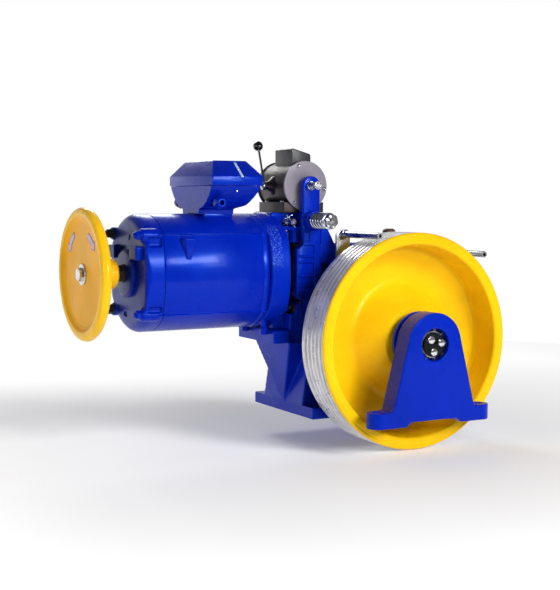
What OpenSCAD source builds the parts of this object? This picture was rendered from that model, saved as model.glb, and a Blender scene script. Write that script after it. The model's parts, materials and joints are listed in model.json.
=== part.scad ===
// Geared lift traction machine: worm gearbox, flange motor, twin-arm drum brake,
// traction sheave between the gearbox and an outboard bearing pedestal.
// Frame: +Z up, X along the worm and motor axis (motor towards -X),
// Y along the slow shaft (sheave towards -Y). The origin is the centre of the
// four gearbox foot bolts, on the underside of the foot.

/* [Traction sheave] */
// Outside diameter over the grooved rim
sheave_d = 680; // [660:5:690]
// Number of rope grooves
groove_count = 5; // [4:1:5]
// Distance between neighbouring grooves
groove_pitch = 22; // [20:0.5:22]
// Diameter of the suspension ropes
rope_d = 13; // [10:1:13]

/* [Gearbox] */
// Height of the slow shaft above the base plane
shaft_height = 246; // [245:1:250]
// Distance between the foot bolt rows along X
foot_bolts_x = 480; // [470:5:490]
// Distance between the foot bolt rows along Y
foot_bolts_y = 320; // [316:2:324]
// Diameter of the foot bolt holes
foot_hole_d = 22; // [18:1:24]

/* [Motor] */
// Diameter of the motor barrel over its round sectors
motor_d = 360; // [358:1:364]
// Width of the motor across its flattened sides
motor_flat_w = 300; // [290:2:310]

/* [Brake] */
// Diameter of the brake drum
drum_d = 160; // [156:1:160]
// Diameter of the brake magnet body
magnet_d = 148; // [144:1:150]
// Outside diameter of the brake springs
spring_d = 52; // [44:1:54]

/* [Handwheel] */
// Diameter of the handwheel
handwheel_d = 400; // [360:5:400]
// Thickness of the handwheel rim
handwheel_t = 33; // [28:1:34]

/* [Outboard pedestal] */
// Distance between the two pedestal slots
pedestal_slots = 376; // [372:1:380]
// Width of the pedestal slots
pedestal_slot_w = 18; // [16:1:20]

/* [Hidden] */
$fn = 96;

// Worm gearing: module 7, two starts, 53 teeth, diameter quotient 9
mod = 7;
teeth = 53;
starts = 2;
quot = 9;
gear_r = mod * teeth / 2;
worm_r = mod * quot / 2;
lead = PI * mod * starts;
lead_angle = atan(starts / quot);
wz = shaft_height;
mz = wz + gear_r + worm_r;
sheave_r = sheave_d / 2;
mr = motor_d / 2;
drum_r = drum_d / 2;
bx = -258;            // X of the brake arms
gz = mz + 268;        // Z of the magnet axis
rodz = mz + 158;      // Z of the brake tie rod
pivz = mz - 118;      // Z of the arm pivots
pivy = 114;           // distance of the arm pivots from the worm axis
tx0 = -616; tx1 = -447;
ped_y = -443;         // front face of the pedestal
blue = [0.03, 0.16, 0.72];
yellow = [0.98, 0.78, 0.05];
steel = [0.75, 0.76, 0.78];
dark = [0.16, 0.13, 0.13];
bronze = [0.80, 0.56, 0.25];

ring_w = motor_flat_w + 30; // width of the brake ring across its flattened sides

guard_bolts = [[-132, mz - 24], [-104, mz - 24], [128, mz - 44], [152, mz - 44]];

// Shapes lying along X or Y
module cx(r, x0, x1, y = 0, z = 0, f = 96) translate([x0, y, z]) rotate([0, 90, 0]) cylinder(r = r, h = x1 - x0, $fn = f);
module cy(r, y0, y1, x = 0, z = 0, f = 96) translate([x, y1, z]) rotate([90, 0, 0]) cylinder(r = r, h = y1 - y0, $fn = f);
module cz(r, z0, z1, x = 0, y = 0, f = 96) translate([x, y, z0]) cylinder(r = r, h = z1 - z0, $fn = f);
module bx3(x0, x1, y0, y1, z0, z1) translate([x0, y0, z0]) cube([x1 - x0, y1 - y0, z1 - z0]);
// Outline given in X and Z, extruded along Y
module slab(y0, y1) translate([0, y1, 0]) rotate([90, 0, 0]) linear_extrude(y1 - y0) children();
// Outline given in Y and Z, extruded along X
module bar(x0, x1) translate([x0, 0, 0]) rotate([90, 0, 90]) linear_extrude(x1 - x0) children();
// Hexagon heads along X and Y
module hx(af, x0, x1, y, z) cx(af / sqrt(3), x0, x1, y, z, 6);
module hy(af, y0, y1, x, z) cy(af / sqrt(3), y0, y1, x, z, 6);
// Ring along X and along Y
module ringx(ro, ri, x0, x1, y = 0, z = 0) difference() { cx(ro, x0, x1, y, z); cx(ri, x0 - 1, x1 + 1, y, z); }
module ringy(ro, ri, y0, y1, x = 0, z = 0) difference() { cy(ro, y0, y1, x, z); cy(ri, y0 - 1, y1 + 1, x, z); }
// Ball bearing as an outer ring, a ball row and an inner ring
module bearing_y(ri, ro, y0, y1, z) {
  w = y1 - y0; rm = (ri + ro) / 2; g = (ro - ri) / 4;
  ringy(ro, rm + g * 0.8, y0, y1, 0, z);
  ringy(rm - g * 0.8, ri, y0, y1, 0, z);
  for (a = [0 : 36 : 359]) translate([rm * cos(a), (y0 + y1) / 2, z + rm * sin(a)]) sphere(g * 0.79, $fn = 24);
}
module bearing_x(ri, ro, x0, x1, z) {
  rm = (ri + ro) / 2; g = (ro - ri) / 4;
  ringx(ro, rm + g * 0.8, x0, x1, 0, z);
  ringx(rm - g * 0.8, ri, x0, x1, 0, z);
  for (a = [0 : 40 : 359]) translate([(x0 + x1) / 2, rm * cos(a), z + rm * sin(a)]) sphere(g * 0.79, $fn = 24);
}

// ---------------- gearbox ----------------
module gearbox_housing() color(blue) difference() {
  union() {
    bx3(-288, 288, -197, 197, 0, 36);
    slab(-126, 132) polygon([[-288, 30], [-261, wz - 34], [-261, wz + 18], [-205, wz + 30], [-205, mz - 22],
      [-150, mz + 40], [150, mz + 40], [205, mz - 22], [205, mz - 86], [222, wz + 54], [261, wz - 34], [288, 30]]);
    cx(82, -205, 205, 0, mz);
    bx3(-388, -331, -123, 123, wz - 10, wz + 30);
    bx3(-332, -205, -112, 112, wz - 10, wz + 30);
    // Wedge under the ledge: wide at the top, coming to a point at the foot
    intersection() {
      slab(-130, 130) polygon([[-333, wz - 9], [-250, wz - 9], [-250, 30], [-288, 30]]);
      bar(-340, -240) polygon([[-123, wz - 9], [123, wz - 9], [6, 30], [-6, 30]]);
    }
    cy(98, -190, -120, 0, wz);
    cz(24, mz + 60, mz + 92, 121, 0);
    // Raised end next to the brake, sloping down to the worm tube
    slab(-98, 98) polygon([[-205, mz + 20], [-205, mz + 132], [-178, mz + 132], [-148, mz + 76], [-148, mz + 20]]);
  }
  cy(195.5, -100, 134, 0, wz, 128);
  cy(80, -191, -142, 0, wz);
  cy(58, -145, -99, 0, wz);
  cx(48, -180, 180, 0, mz);
  cx(55, -206, -176, 0, mz);
  cx(55, 176, 206, 0, mz);
  cz(10, mz + 30, mz + 93, 121, 0);
  cy(16, -130, -90, 140, wz - 110);
  for (x = [-1, 1], y = [-1, 1]) {
    cz(foot_hole_d / 2, -1, 40, x * foot_bolts_x / 2, y * foot_bolts_y / 2);
    cz(24, 33, 40, x * foot_bolts_x / 2, y * foot_bolts_y / 2);
  }
  for (a = [22.5 : 45 : 359]) {
    cy(5.05, 112, 133, 202 * cos(a), wz + 202 * sin(a), 24);
    cx(5.3, 186, 206, 68 * cos(a), mz + 68 * sin(a), 24);
  }
  for (y = [-1, 1]) cz(8.3, wz + 8, wz + 31, -308, y * 76, 24);
  for (p = guard_bolts) cy(5.05, -127, -112, p[0], p[1], 24);
}
module gearbox_rear_cover() color(blue) difference() {
  union() {
    cy(208, 132, 148, 0, wz, 128);
    cy(92, 100, 158, 0, wz);
    cy(193.5, 126, 133, 0, wz, 128);
    for (a = [0 : 45 : 359]) translate([0, 0, wz]) rotate([0, a, 0]) bx3(85, 190, 147, 156, -6, 6);
  }
  cy(70, 99, 134, 0, wz);
  cy(50, 133, 144, 0, wz);
  for (a = [22.5 : 45 : 359]) cy(5.3, 131, 149, 202 * cos(a), wz + 202 * sin(a), 24);
}
module gearbox_cover_bolts() color(steel) {
  for (a = [22.5 : 45 : 359]) {
    hy(16, 148, 155, 202 * cos(a), wz + 202 * sin(a));
    cy(5, 114, 149, 202 * cos(a), wz + 202 * sin(a), 24);
    hx(16, 221, 228, 68 * cos(a), mz + 68 * sin(a));
    cx(5, 188, 222, 68 * cos(a), mz + 68 * sin(a), 24);
  }
  for (p = guard_bolts) {
    hy(16, -141, -134, p[0], p[1]);
    cy(5, -135, -114, p[0], p[1], 24);
  }
}
module slow_shaft_bearings() color(steel) {
  bearing_y(45.05, 80, -172, -142, wz);
  bearing_y(40.05, 70, 106, 132, wz);
}
module slow_shaft_seal() color(dark) ringy(80, 46, -190, -172, 0, wz);
module worm_bearings() color(steel) {
  bearing_x(25.05, 55, -203, -176, mz);
  bearing_x(25.05, 55, 176, 203, mz);
}
module worm_end_cover() color(blue) difference() {
  union() {
    cx(82, 205, 221, 0, mz);
    cx(40, 220, 232, 0, mz);
  }
  cx(30, 204, 222, 0, mz);
  for (a = [22.5 : 45 : 359]) cx(5.3, 204, 222, 68 * cos(a), mz + 68 * sin(a), 24);
}
module breather() {
  color(steel) cz(13, mz + 92, mz + 108, 121, 0, 48);
  color(steel) cz(9.9, mz + 66, mz + 92, 121, 0, 48);
  color([0.3, 0.2, 0.12]) cz(21.5, mz + 108, mz + 127, 121, 0, 64);
}
module sight_glass() {
  color(steel) difference() {
    union() {
      cy(15.9, -126, -102, 140, wz - 110);
      cy(21, -132, -126, 140, wz - 110, 6);
    }
    cy(11, -133, -128, 140, wz - 110, 48);
  }
}

// ---------------- brake housing between motor and gearbox ----------------
module brake_housing() color(blue) difference() {
  union() {
    translate([0, 0, mz]) bar(-415, -350) motor_2d(ring_w);
    bx3(-366, -205, -123, 123, wz + 30, mz - 135);
    bx3(-366, -205, -62, 62, mz + 127, mz + 183);
    bx3(-222, -205, -105, 105, mz - 136, mz + 82);
    bx3(-222, -205, -98, 98, mz + 80, mz + 132);
    bx3(-222, -205, -130, 130, wz + 30, pivz + 17);
    for (s = [-1, 1]) bx3(-312, -290, s * pivy - 16, s * pivy + 16, mz - 136, pivz + 17);
    bx3(-352, -282, -98, 98, mz + 127, mz + 140);
    for (s = [-1, 1]) cz(16, mz + 88, mz + 128, -298, s * 82, 48);
    // Two hexagon bosses under the ring
    for (y = [-80, 48]) {
      translate([-402, y, mz - 201]) rotate([0, 0, 30]) cylinder(r = 14, h = 22, $fn = 6);
      cz(9, mz - 181, mz - 158, -402, y, 32);
    }
    bx3(-355, -340, -100, 100, mz - 137, mz - 104);
  }
  cx(32, -224, -204, 0, mz);
  cx(mr - 30, -431, -339, 0, mz);
  for (s = [-1, 1]) bx3(-365, -330, s > 0 ? 74 : -130, s > 0 ? 130 : -74, wz + 29, mz - 134);
  cy(8.5, -124, 124, bx, rodz, 48);
  for (s = [-1, 1]) cx(9.02, -313, -204, s * pivy, pivz, 48);
  for (a = [45 : 90 : 359]) cx(6.3, -431, -349, 165 * cos(a), mz + 165 * sin(a), 24);
  cy(6.52, -63, -31, -312, mz + 154, 48);
  for (y = [-1, 1]) cz(8.3, wz + 29, mz - 134, -308, y * 76, 24);
}
module housing_bolts() color(steel) {
  for (a = [45 : 90 : 359]) {
    cx(6, -433, -349, 165 * cos(a), mz + 165 * sin(a), 24);
    hx(19, -350, -341, 165 * cos(a), mz + 165 * sin(a));
  }
  for (y = [-1, 1]) {
    translate([-308, y * 76, mz - 135]) cylinder(r = 24 / sqrt(3), h = 10, $fn = 6);
    cz(8, wz + 10, mz - 134, -308, y * 76, 24);
  }
  for (s = [-1, 1], t = [-1, 1]) {
    cx(8, s > 0 ? -866 : -854, -812, s * 115, mz + t * 118, 24);
    hx(26, -848, -831, s * 115, mz + t * 118);
  }
  // Lock bolt on the front of the top beam
  cy(6.5, -118, -32, -312, mz + 154, 48);
  cy(14, -66, -62, -312, mz + 154, 48);
  hy(22, -78, -66, -312, mz + 154);
  hy(19, -113, -100, -312, mz + 154);
}
module arm_pivot_pins() color(steel) for (s = [-1, 1]) {
  cx(9, -314, -206, s * pivy, pivz, 48);
  cx(13, -317, -312, s * pivy, pivz, 48);
}
module brake_tie_rod() color(steel) cy(8, -262, 262, bx, rodz, 48);
module spring_nuts() color(steel) for (s = [-1, 1]) {
  y0 = s > 0 ? 234 : -240; y1 = s > 0 ? 240 : -234;
  ringy(26, 8.05, y0, y1, bx, rodz);
  n0 = s > 0 ? 240 : -256; n1 = s > 0 ? 256 : -240;
  difference() { hy(41, n0, n1, bx, rodz); cy(8.05, n0 - 1, n1 + 1, bx, rodz, 48); }
}
// Compression springs, swept as facetted helices
function spring_pt(t, rc, p) = [rc * cos(t), rc * sin(t), p * t / 360];
module spring(rc, rw, p, n, seg) {
  ns = n * seg; k = 8;
  pts = [for (i = [0 : ns]) let (t = i * 360 / seg, c = spring_pt(t, rc, p))
    for (j = [0 : k - 1]) let (a = j * 360 / k) [c[0] + rw * cos(a) * cos(t), c[1] + rw * cos(a) * sin(t), c[2] + rw * sin(a)]];
  faces = concat([[for (j = [0 : k - 1]) j]],
    [for (i = [0 : ns - 1], j = [0 : k - 1]) [i * k + j, (i + 1) * k + j, (i + 1) * k + (j + 1) % k, i * k + (j + 1) % k]],
    [[for (j = [0 : k - 1]) ns * k + k - 1 - j]]);
  polyhedron(pts, faces);
}
module brake_springs() color(steel) for (s = [-1, 1])
  translate([bx, s > 0 ? 158.8 : -158.8, rodz]) rotate([s > 0 ? -90 : 90, 0, 0]) spring(spring_d / 2 - 3.6, 3.6, 17.8, 4, 24);

// ---------------- brake magnet ----------------
module magnet_base() color(dark) difference() {
  bx3(-332, -188, -84, 84, mz + 183, gz - 52);
  cy(magnet_d / 2 + 0.05, -85, 85, bx, gz);
  for (x = [-318, -204], y = [-50, 50]) cz(5.2, mz + 180, gz, x, y, 24);
}
module magnet_body() color(dark) difference() {
  cy(magnet_d / 2, -86, 86, bx, gz);
  cy(magnet_d / 2 - 13, -80, 80, bx, gz);
  cy(12.5, -87, 87, bx, gz, 48);
  cx(7.05, -400, bx, 0, gz, 48);
}
module magnet_coils() color(bronze) for (s = [-1, 1])
  ringy(magnet_d / 2 - 14, 22, s > 0 ? 12 : -78, s > 0 ? 78 : -12, bx, gz);
module magnet_covers() color([0.45, 0.43, 0.48]) for (s = [-1, 1])
  ringy(magnet_d / 2 + 4, 12.5, s > 0 ? 86 : -92, s > 0 ? 92 : -86, bx, gz);
module magnet_connector_box() color(dark) difference() {
  slab(-65, 46) polygon([[-294, gz + 30], [-294, gz + 116], [-288, gz + 118], [-228, gz + 102], [-224, gz + 97], [-224, gz + 30]]);
  cy(magnet_d / 2 + 0.05, -86, 86, bx, gz);
}
module magnet_screws() color(steel) for (s = [-1, 1], a = [60, 180, 300])
  cy(5, s > 0 ? 92 : -98, s > 0 ? 98 : -92, bx + 68 * cos(a + 52), gz + 68 * sin(a + 52), 32);

// ---------------- motor ----------------
// Barrel section: round above and below, flatter sides with a slight crown
module motor_2d(w = motor_flat_w) intersection() {
  circle(mr, $fn = 128);
  union() {
    translate([-mr, 120]) square([2 * mr, mr]);
    translate([-mr, -120 - mr]) square([2 * mr, mr]);
    intersection() {
      translate([320 - w / 2, 0]) circle(320, $fn = 128);
      translate([w / 2 - 320, 0]) circle(320, $fn = 128);
    }
  }
}
module motor_frame() color(blue) difference() {
  union() {
    translate([0, 0, mz]) bar(-765, -437) motor_2d();
    bx3(-598, -500, -59, 59, mz + 168, mz + 182);
    slab(-160, -136) polygon([[-710, mz + 112], [-666, mz + 112], [-678, mz + 42], [-698, mz + 42]]);
  }
  cx(132, -766, -436, 0, mz, 128);
  bx3(-580, -518, -30, 30, mz + 120, mz + 190);
}
module motor_end_shield() color(blue) difference() {
  union() {
    translate([0, 0, mz]) intersection() {
      bar(-825, -765) motor_2d();
      translate([-825, 0, 0]) rotate([0, 90, 0]) rotate_extrude($fn = 128)
        polygon(concat([[0, 0]], [for (a = [0 : 10 : 90]) [mr - 32 + 32 * sin(a), 32 - 32 * cos(a)]], [[mr, 60], [0, 60]]));
      translate([0, 0, -200]) linear_extrude(400) offset(r = 18, $fn = 48) translate([-807, -motor_flat_w / 2 + 18]) square([100, motor_flat_w - 36]);
    }
    for (s = [-1, 1]) {
      bx3(-846, -800, s * 88 - 28, s * 88 + 28, mz + 44, mz + 84);
      for (t = [-1, 1]) cx(20, -831, -780, s * 115, mz + t * 118, 48);
    }
  }
  cx(118, -811, -764, 0, mz);
  cx(45, -826, -788, 0, mz);
  for (s = [-1, 1]) {
    bx3(-812, -770, s > 0 ? 124 : -160, s > 0 ? 160 : -124, mz + 84, mz + 112);
    bx3(-812, -770, s > 0 ? 124 : -160, s > 0 ? 160 : -124, mz - 112, mz - 94);
  }
  hull() for (y = [12, 28]) cx(8, -826, -820, y, mz - 124, 32);
  translate([-826, -15, mz + 110]) rotate([25, 0, 0]) translate([0, -4, -9]) cube([6, 8, 18]);
  for (s = [-1, 1], t = [-1, 1]) cx(8.3, -832, -810, s * 115, mz + t * 118, 24);
}
module motor_drive_flange() color(blue) difference() {
  union() {
    translate([0, 0, mz]) bar(-437, -415) motor_2d();
    cx(131.5, -445, -437, 0, mz);
    cx(60, -455, -445, 0, mz);
  }
  cx(45, -456, -428, 0, mz);
  cx(32, -429, -414, 0, mz);
  for (a = [45 : 90 : 359]) cx(6.3, -438, -414, 165 * cos(a), mz + 165 * sin(a), 24);
}
module stator_core() color(steel) ringx(132, 84, -700, -520, 0, mz);
module stator_windings() color(bronze) {
  ringx(122, 90, -742, -700, 0, mz);
  ringx(122, 90, -520, -478, 0, mz);
}
module motor_bearings() color(steel) {
  bearing_x(27.55, 45, -820, -791, mz);
  bearing_x(30.05, 45, -454, -429, mz);
}
module motor_bearing_cap() color(blue) difference() {
  cx(73, -840, -825, 0, mz);
  cx(29, -841, -824, 0, mz);
}
module terminal_box() color(blue) difference() {
  intersection() {
    bar(tx0, tx1) polygon([[-60, mz + 178], [60, mz + 178], [62, mz + 193], [92, mz + 202], [112, mz + 215], [134, mz + 237], [146, mz + 252],
      [153, mz + 265], [-153, mz + 265], [-146, mz + 252], [-134, mz + 237], [-112, mz + 215], [-92, mz + 202], [-62, mz + 193]]);
    slab(-170, 170) polygon([[tx0, mz + 170], [-498, mz + 170], [-498, mz + 196], [-472, mz + 206], [-460, mz + 230], [-452, mz + 250],
      [-449, mz + 270], [tx0, mz + 270]]);
  }
  intersection() {
    bar(tx0 + 7, tx1) polygon([[-52, mz + 182.5], [52, mz + 182.5], [52, mz + 200], [84, mz + 209], [104, mz + 221], [126, mz + 242], [145, mz + 266],
      [-145, mz + 266], [-126, mz + 242], [-104, mz + 221], [-84, mz + 209], [-52, mz + 200]]);
    slab(-170, 170) polygon([[tx0 + 7, mz + 170], [-507, mz + 170], [-507, mz + 203], [-478, mz + 213], [-466, mz + 235], [-457, mz + 268], [tx0 + 7, mz + 268]]);
  }
  bx3(-580, -518, -30, 30, mz + 170, mz + 190);
  bx3(-598, -500, -59, 59, mz + 170, mz + 182.05);
  translate([0, 0, mz]) bar(-620, -440) motor_2d();
  for (s = [-1, 1]) cy(10, s > 0 ? 80 : -160, s > 0 ? 160 : -80, -586, mz + 214, 48);
}
module terminal_box_lid() color(blue) difference() {
  union() {
    bx3(tx0 - 1, tx1, -160, 160, mz + 265, mz + 295);
    hull() {
      bx3(tx0 - 1, tx1, -160, 160, mz + 294, mz + 295);
      bx3(tx0 + 28, tx1 - 28, -102, 102, mz + 341, mz + 342);
    }
  }
  bx3(tx0 + 6, tx1 - 6, -153, 153, mz + 264, mz + 296);
  difference() {
    hull() {
      bx3(tx0 + 6, tx1 - 6, -153, 153, mz + 294, mz + 295);
      bx3(tx0 + 34, tx1 - 34, -98, 98, mz + 334, mz + 335);
    }
    for (s = [-1, 1]) bx3(-530, -502, s > 0 ? 94 : -154, s > 0 ? 154 : -94, mz + 296, mz + 340);
  }
  for (s = [-1, 1]) bar(-522, -510) polygon([[s * 161, mz + 289], [s * 157, mz + 289], [s * 104, mz + 332], [s * 104, mz + 345], [s * 161, mz + 345]]);
}
module terminal_board() {
  color([0.55, 0.25, 0.12]) bx3(-594, -509, -44, 44, mz + 190, mz + 200);
  color(bronze) for (x = [-568, -534], y = [-28, 0, 28]) cz(4, mz + 200, mz + 222, x, y, 24);
  color(steel) for (x = [-588, -514], y = [-38, 38]) cz(4.5, mz + 182.5, mz + 190, x, y, 24);
}
module cable_glands() color([0.04, 0.1, 0.45]) for (s = [-1, 1]) {
  translate([-586, s * 113, mz + 214]) rotate([s * -90, 0, 0]) difference() {
    union() {
      cylinder(r = 9.95, h = 24, $fn = 48);
      translate([0, 0, 24]) cylinder(r = 20, h = 12, $fn = 6);
      translate([0, 0, 36]) cylinder(r = 17, h = 14, $fn = 48);
    }
    translate([0, 0, -1]) cylinder(r = 7, h = 60, $fn = 48);
  }
}

// ---------------- rope guard ----------------
rod_a = [-142, wz + 331];
rod_b = [256, wz + 268];
module rope_guard_bracket() color(steel) difference() {
  union() {
    slab(-134, -126) polygon([[-150, mz - 40], [-168, mz + 40], [-168, wz + 330], [-156, wz + 345], [-126, wz + 345], [-116, wz + 332], [-120, mz + 40], [-80, mz - 40]]);
    slab(-134, -126) polygon([[110, mz - 60], [110, mz - 10], [228, wz + 282], [246, wz + 292], [268, wz + 292], [276, wz + 276],
      [276, wz + 256], [262, wz + 246], [160, mz - 60]]);
  }
  for (p = [rod_a, rod_b]) cy(8.05, -135, -125, p[0], p[1], 48);
  for (p = guard_bolts) cy(5.3, -135, -125, p[0], p[1], 24);
}
module rope_guard_rods() color(steel) for (p = [rod_a, rod_b]) difference() {
  union() {
    cy(10, -348, -134, p[0], p[1], 64);
    cy(8, -134, -112, p[0], p[1], 48);
    hy(24, -126, -114, p[0], p[1]);
  }
  cy(5, -349, -320, p[0], p[1], 48);
}

// ---------------- outboard pedestal ----------------
module outboard_pedestal() color(blue) difference() {
  union() {
    slab(ped_y, ped_y + 67) difference() {
      union() {
        translate([0, wz]) circle(98);
        polygon([[-97, wz + 14], [97, wz + 14], [156, 30], [-156, 30]]);
        translate([-160, 0]) square([320, 50]);
      }
      polygon([[-104, -1], [-84, 14], [84, 14], [104, -1]]);
    }
    for (s = [-1, 1]) {
      bx3(s > 0 ? 150 : -188, s > 0 ? 188 : -150, ped_y, ped_y + 67, 0, 48);
      cz(33.5, 0, 48, s * 188, ped_y + 33.5);
    }
  }
  cy(50, ped_y - 1, ped_y + 68, 0, wz);
  cy(60, ped_y + 16, ped_y + 68, 0, wz);
  for (s = [-1, 1]) hull_slot(s * pedestal_slots / 2);
}
// Slot along X, made of straight and round walls
module hull_slot(x) {
  r = pedestal_slot_w / 2;
  for (t = [-8, 8]) cz(r, -1, 50, x + t, ped_y + 33.5, 48);
  bx3(x - 8, x + 8, ped_y + 33.5 - r, ped_y + 33.5 + r, -1, 50);
}
module outboard_bearing() color(steel) bearing_y(32.55, 60, ped_y + 16, ped_y + 41, wz);
module outboard_bearing_cover() color(blue) difference() {
  union() {
    cy(59.9, ped_y + 41, ped_y + 70, 0, wz);
    cy(84, ped_y + 67, ped_y + 84, 0, wz);
    cy(96, ped_y + 83, ped_y + 97, 0, wz);
  }
  cy(34, ped_y + 40, ped_y + 98, 0, wz);
}

// ---------------- fast running parts ----------------
module motor_shaft() color(steel) {
  cx(30, -790, -444, 0, mz);
  cx(27.5, -846, -790, 0, mz);
  cx(25, -966, -846, 0, mz);
  cx(30, -444, -352, 0, mz);
  cx(22, -352, -334, 0, mz);
}
module rotor() color(steel) difference() {
  union() {
    cx(83, -700, -520, 0, mz);
    cx(74, -722, -700, 0, mz);
    cx(74, -520, -498, 0, mz);
  }
  cx(30, -723, -497, 0, mz);
}
module coupling_half() color([0.35, 0.35, 0.38]) difference() {
  union() {
    cx(48, -400, -356, 0, mz);
    cx(84, -356, -336, 0, mz);
  }
  cx(30, -401, -352, 0, mz);
  cx(22, -353, -335, 0, mz);
  for (a = [0 : 60 : 359]) cx(9.1, -357, -335, 62 * cos(a), mz + 62 * sin(a), 32);
}
module brake_drum() color([0.5, 0.5, 0.52]) difference() {
  union() {
    cx(drum_r, -330, -228, 0, mz);
    for (a = [0 : 60 : 359]) cx(9, -356, -320, 62 * cos(a), mz + 62 * sin(a), 32);
  }
  cx(62, -270, -227, 0, mz);
  cx(28, -331, -269, 0, mz);
}
module thread_2d() {
  // Two lobes: narrower at the crest than at the root
  rc = worm_r + mod * 0.92; rr = 24;
  polygon([for (s = [0, 180], p = [[rr, -36], [worm_r, -24], [rc, -15], [rc, 15], [worm_r, 24], [rr, 36], [rr, 90]])
    [p[0] * cos(p[1] + s), p[0] * sin(p[1] + s)]]);
}
module worm_shaft() color(steel) {
  cx(22, 55, 176, 0, mz);
  cx(25, 172, 206, 0, mz);
  cx(22, -172, -55, 0, mz);
  cx(25, -224, -172, 0, mz);
  cx(28, -318, -224, 0, mz);
  cx(20, -56, 56, 0, mz);
  translate([-56, 0, mz]) rotate([0, 90, 0]) rotate([0, 0, -56 / lead * 360])
    linear_extrude(height = 112, twist = -112 / lead * 360, slices = 46) thread_2d();
}
module handwheel() color(yellow) translate([-980, 0, mz]) rotate([0, 90, 0]) rotate_extrude($fn = 128)
  polygon(concat([[17, 12], [60, 12], [handwheel_d / 2 - 46, 12], [handwheel_d / 2 - 36, 8], [handwheel_d / 2 - 28, 2]],
    [for (a = [-30 : 15 : 90]) [handwheel_d / 2 - 16 + 16 * sin(a), 16 - 16 * cos(a)]],
    [[handwheel_d / 2, handwheel_t - 14], [handwheel_d / 2 - 6, handwheel_t - 3], [handwheel_d / 2 - 22, handwheel_t], [60, handwheel_t], [53, handwheel_t + 4],
    [46, handwheel_t + 12], [46, 107], [41, 112], [25, 112], [25, 14], [17, 14]]));
module handwheel_bolt() color(steel) {
  cx(32, -973, -968, 0, mz);
  cx(11, -968.05, -966, 0, mz);
  hx(36, -985, -973, 0, mz);
}

// ---------------- slow running parts ----------------
module slow_shaft() color(steel) {
  cy(40, 104, 140, 0, wz);
  cy(48, -100, 104, 0, wz);
  cy(45, -196, -100, 0, wz);
  cy(42.5, -332, -196, 0, wz);
  difference() {
    cy(32.5, ped_y + 15, -332, 0, wz);
    for (a = [15 : 120 : 359]) cy(6, ped_y + 14, ped_y + 36, 22.5 * cos(a), wz + 22.5 * sin(a), 24);
  }
}
module worm_wheel_hub() color([0.4, 0.4, 0.42]) difference() {
  union() {
    cy(78, -60, 60, 0, wz);
    cy(160, -16, 16, 0, wz);
    ringy(160, 140, -30, 30, 0, wz);
  }
  cy(48, -61, 61, 0, wz);
  for (a = [0 : 60 : 359]) cy(20, -20, 20, 110 * cos(a), wz + 110 * sin(a), 48);
}
module worm_wheel_rim() color(bronze) difference() {
  cy(gear_r + mod, -30, 30, 0, wz, 128);
  cy(160, -31, 31, 0, wz, 128);
  for (i = [0 : teeth - 1]) translate([0, 0, wz]) rotate([0, i * 360 / teeth, 0]) translate([0, 0, gear_r]) rotate([0, 0, -lead_angle])
    rotate([90, 0, 0]) linear_extrude(80, center = true)
      polygon([[-2.6, -8.6], [2.6, -8.6], [5.6, 0], [8.6, 8], [-8.6, 8], [-5.6, 0]]);
}
module sheave() color(yellow) translate([0, 0, wz]) rotate([90, 0, 0]) {
  rotate_extrude($fn = 180) difference() {
    polygon([[sheave_r - 48, 220], [sheave_r - 42, 215], [sheave_r, 215], [sheave_r, 344], [sheave_r - 5, 348], [sheave_r - 34, 348],
      [sheave_r - 38, 344], [sheave_r - 48, 268]]);
    for (i = [0 : groove_count - 1]) translate([sheave_r - 4.3, 239 + i * groove_pitch]) {
      circle(rope_d / 2 + 0.4, $fn = 48);
      translate([0, -rope_d / 2 - 0.4]) square([10, rope_d + 0.8]);
    }
  }
  rotate_extrude($fn = 180) polygon([[42.5, 196], [84, 196], [92, 203], [105, 225], [sheave_r - 48, 222], [sheave_r - 48, 262],
    [sheave_r - 58, 254], [194, 250], [176, 256], [112, 320], [104, 326], [42.5, 326]]);
}
module shaft_end_plate() color([0.2, 0.2, 0.22]) difference() {
  cy(38, ped_y + 7, ped_y + 15, 0, wz);
  for (a = [15 : 120 : 359]) cy(6.3, ped_y + 6, ped_y + 16, 22.5 * cos(a), wz + 22.5 * sin(a), 24);
}
module shaft_end_bolts() color(steel) for (a = [15 : 120 : 359]) {
  hy(19, ped_y - 2, ped_y + 7, 22.5 * cos(a), wz + 22.5 * sin(a));
  cy(6, ped_y + 6, ped_y + 34, 22.5 * cos(a), wz + 22.5 * sin(a), 24);
}

// ---------------- brake arms, drawn for the front and mirrored for the rear ----------------
module arm_2d() {
  translate([bx - 28, pivz]) square([60, gz - pivz]);
  translate([bx + 2, gz]) circle(30);
  polygon([[bx - 28, pivz + 22], [bx - 52, pivz + 38], [bx - 52, mz + 68], [bx - 28, mz + 84]]);
}
module arm() difference() {
  union() {
    slab(-122, -100) arm_2d();
    // Raised border and the ledges around the shoe
    slab(-128, -121) difference() { arm_2d(); offset(delta = -5) arm_2d(); }
    for (z = [mz - 60, mz - 16, mz + 28, mz + 46]) bx3(bx - 50, bx + 28, -127, -121, z - 2, z + 2);
    cx(14, bx - 28, bx + 28, -pivy, pivz);
    cy(31, -155, -121, bx, rodz);
    cy(22, -128, -121, bx, gz, 48);
    bx3(bx - 34, bx + 32, -106, -82.5, mz - 43, mz + 43);
  }
  cx(drum_r + 10, -400, -200, 0, mz, 120);
  cx(9.06, bx - 60, bx + 60, -pivy, pivz, 48);
  cy(10, -160, -90, bx, rodz, 48);
  cy(8.02, -129, -99, bx, gz, 48);
}
module lining() difference() {
  cx(drum_r + 9.95, bx - 34, bx + 32, 0, mz, 120);
  cx(drum_r + 0.4, bx - 35, bx + 33, 0, mz, 120);
  bx3(-400, -200, -61, 120, mz - 120, mz + 120);
  for (s = [-1, 1]) translate([0, 0, mz]) bx3(-400, -200, -120, 0, s > 0 ? 41 : -120, s > 0 ? 120 : -41);
}
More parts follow.
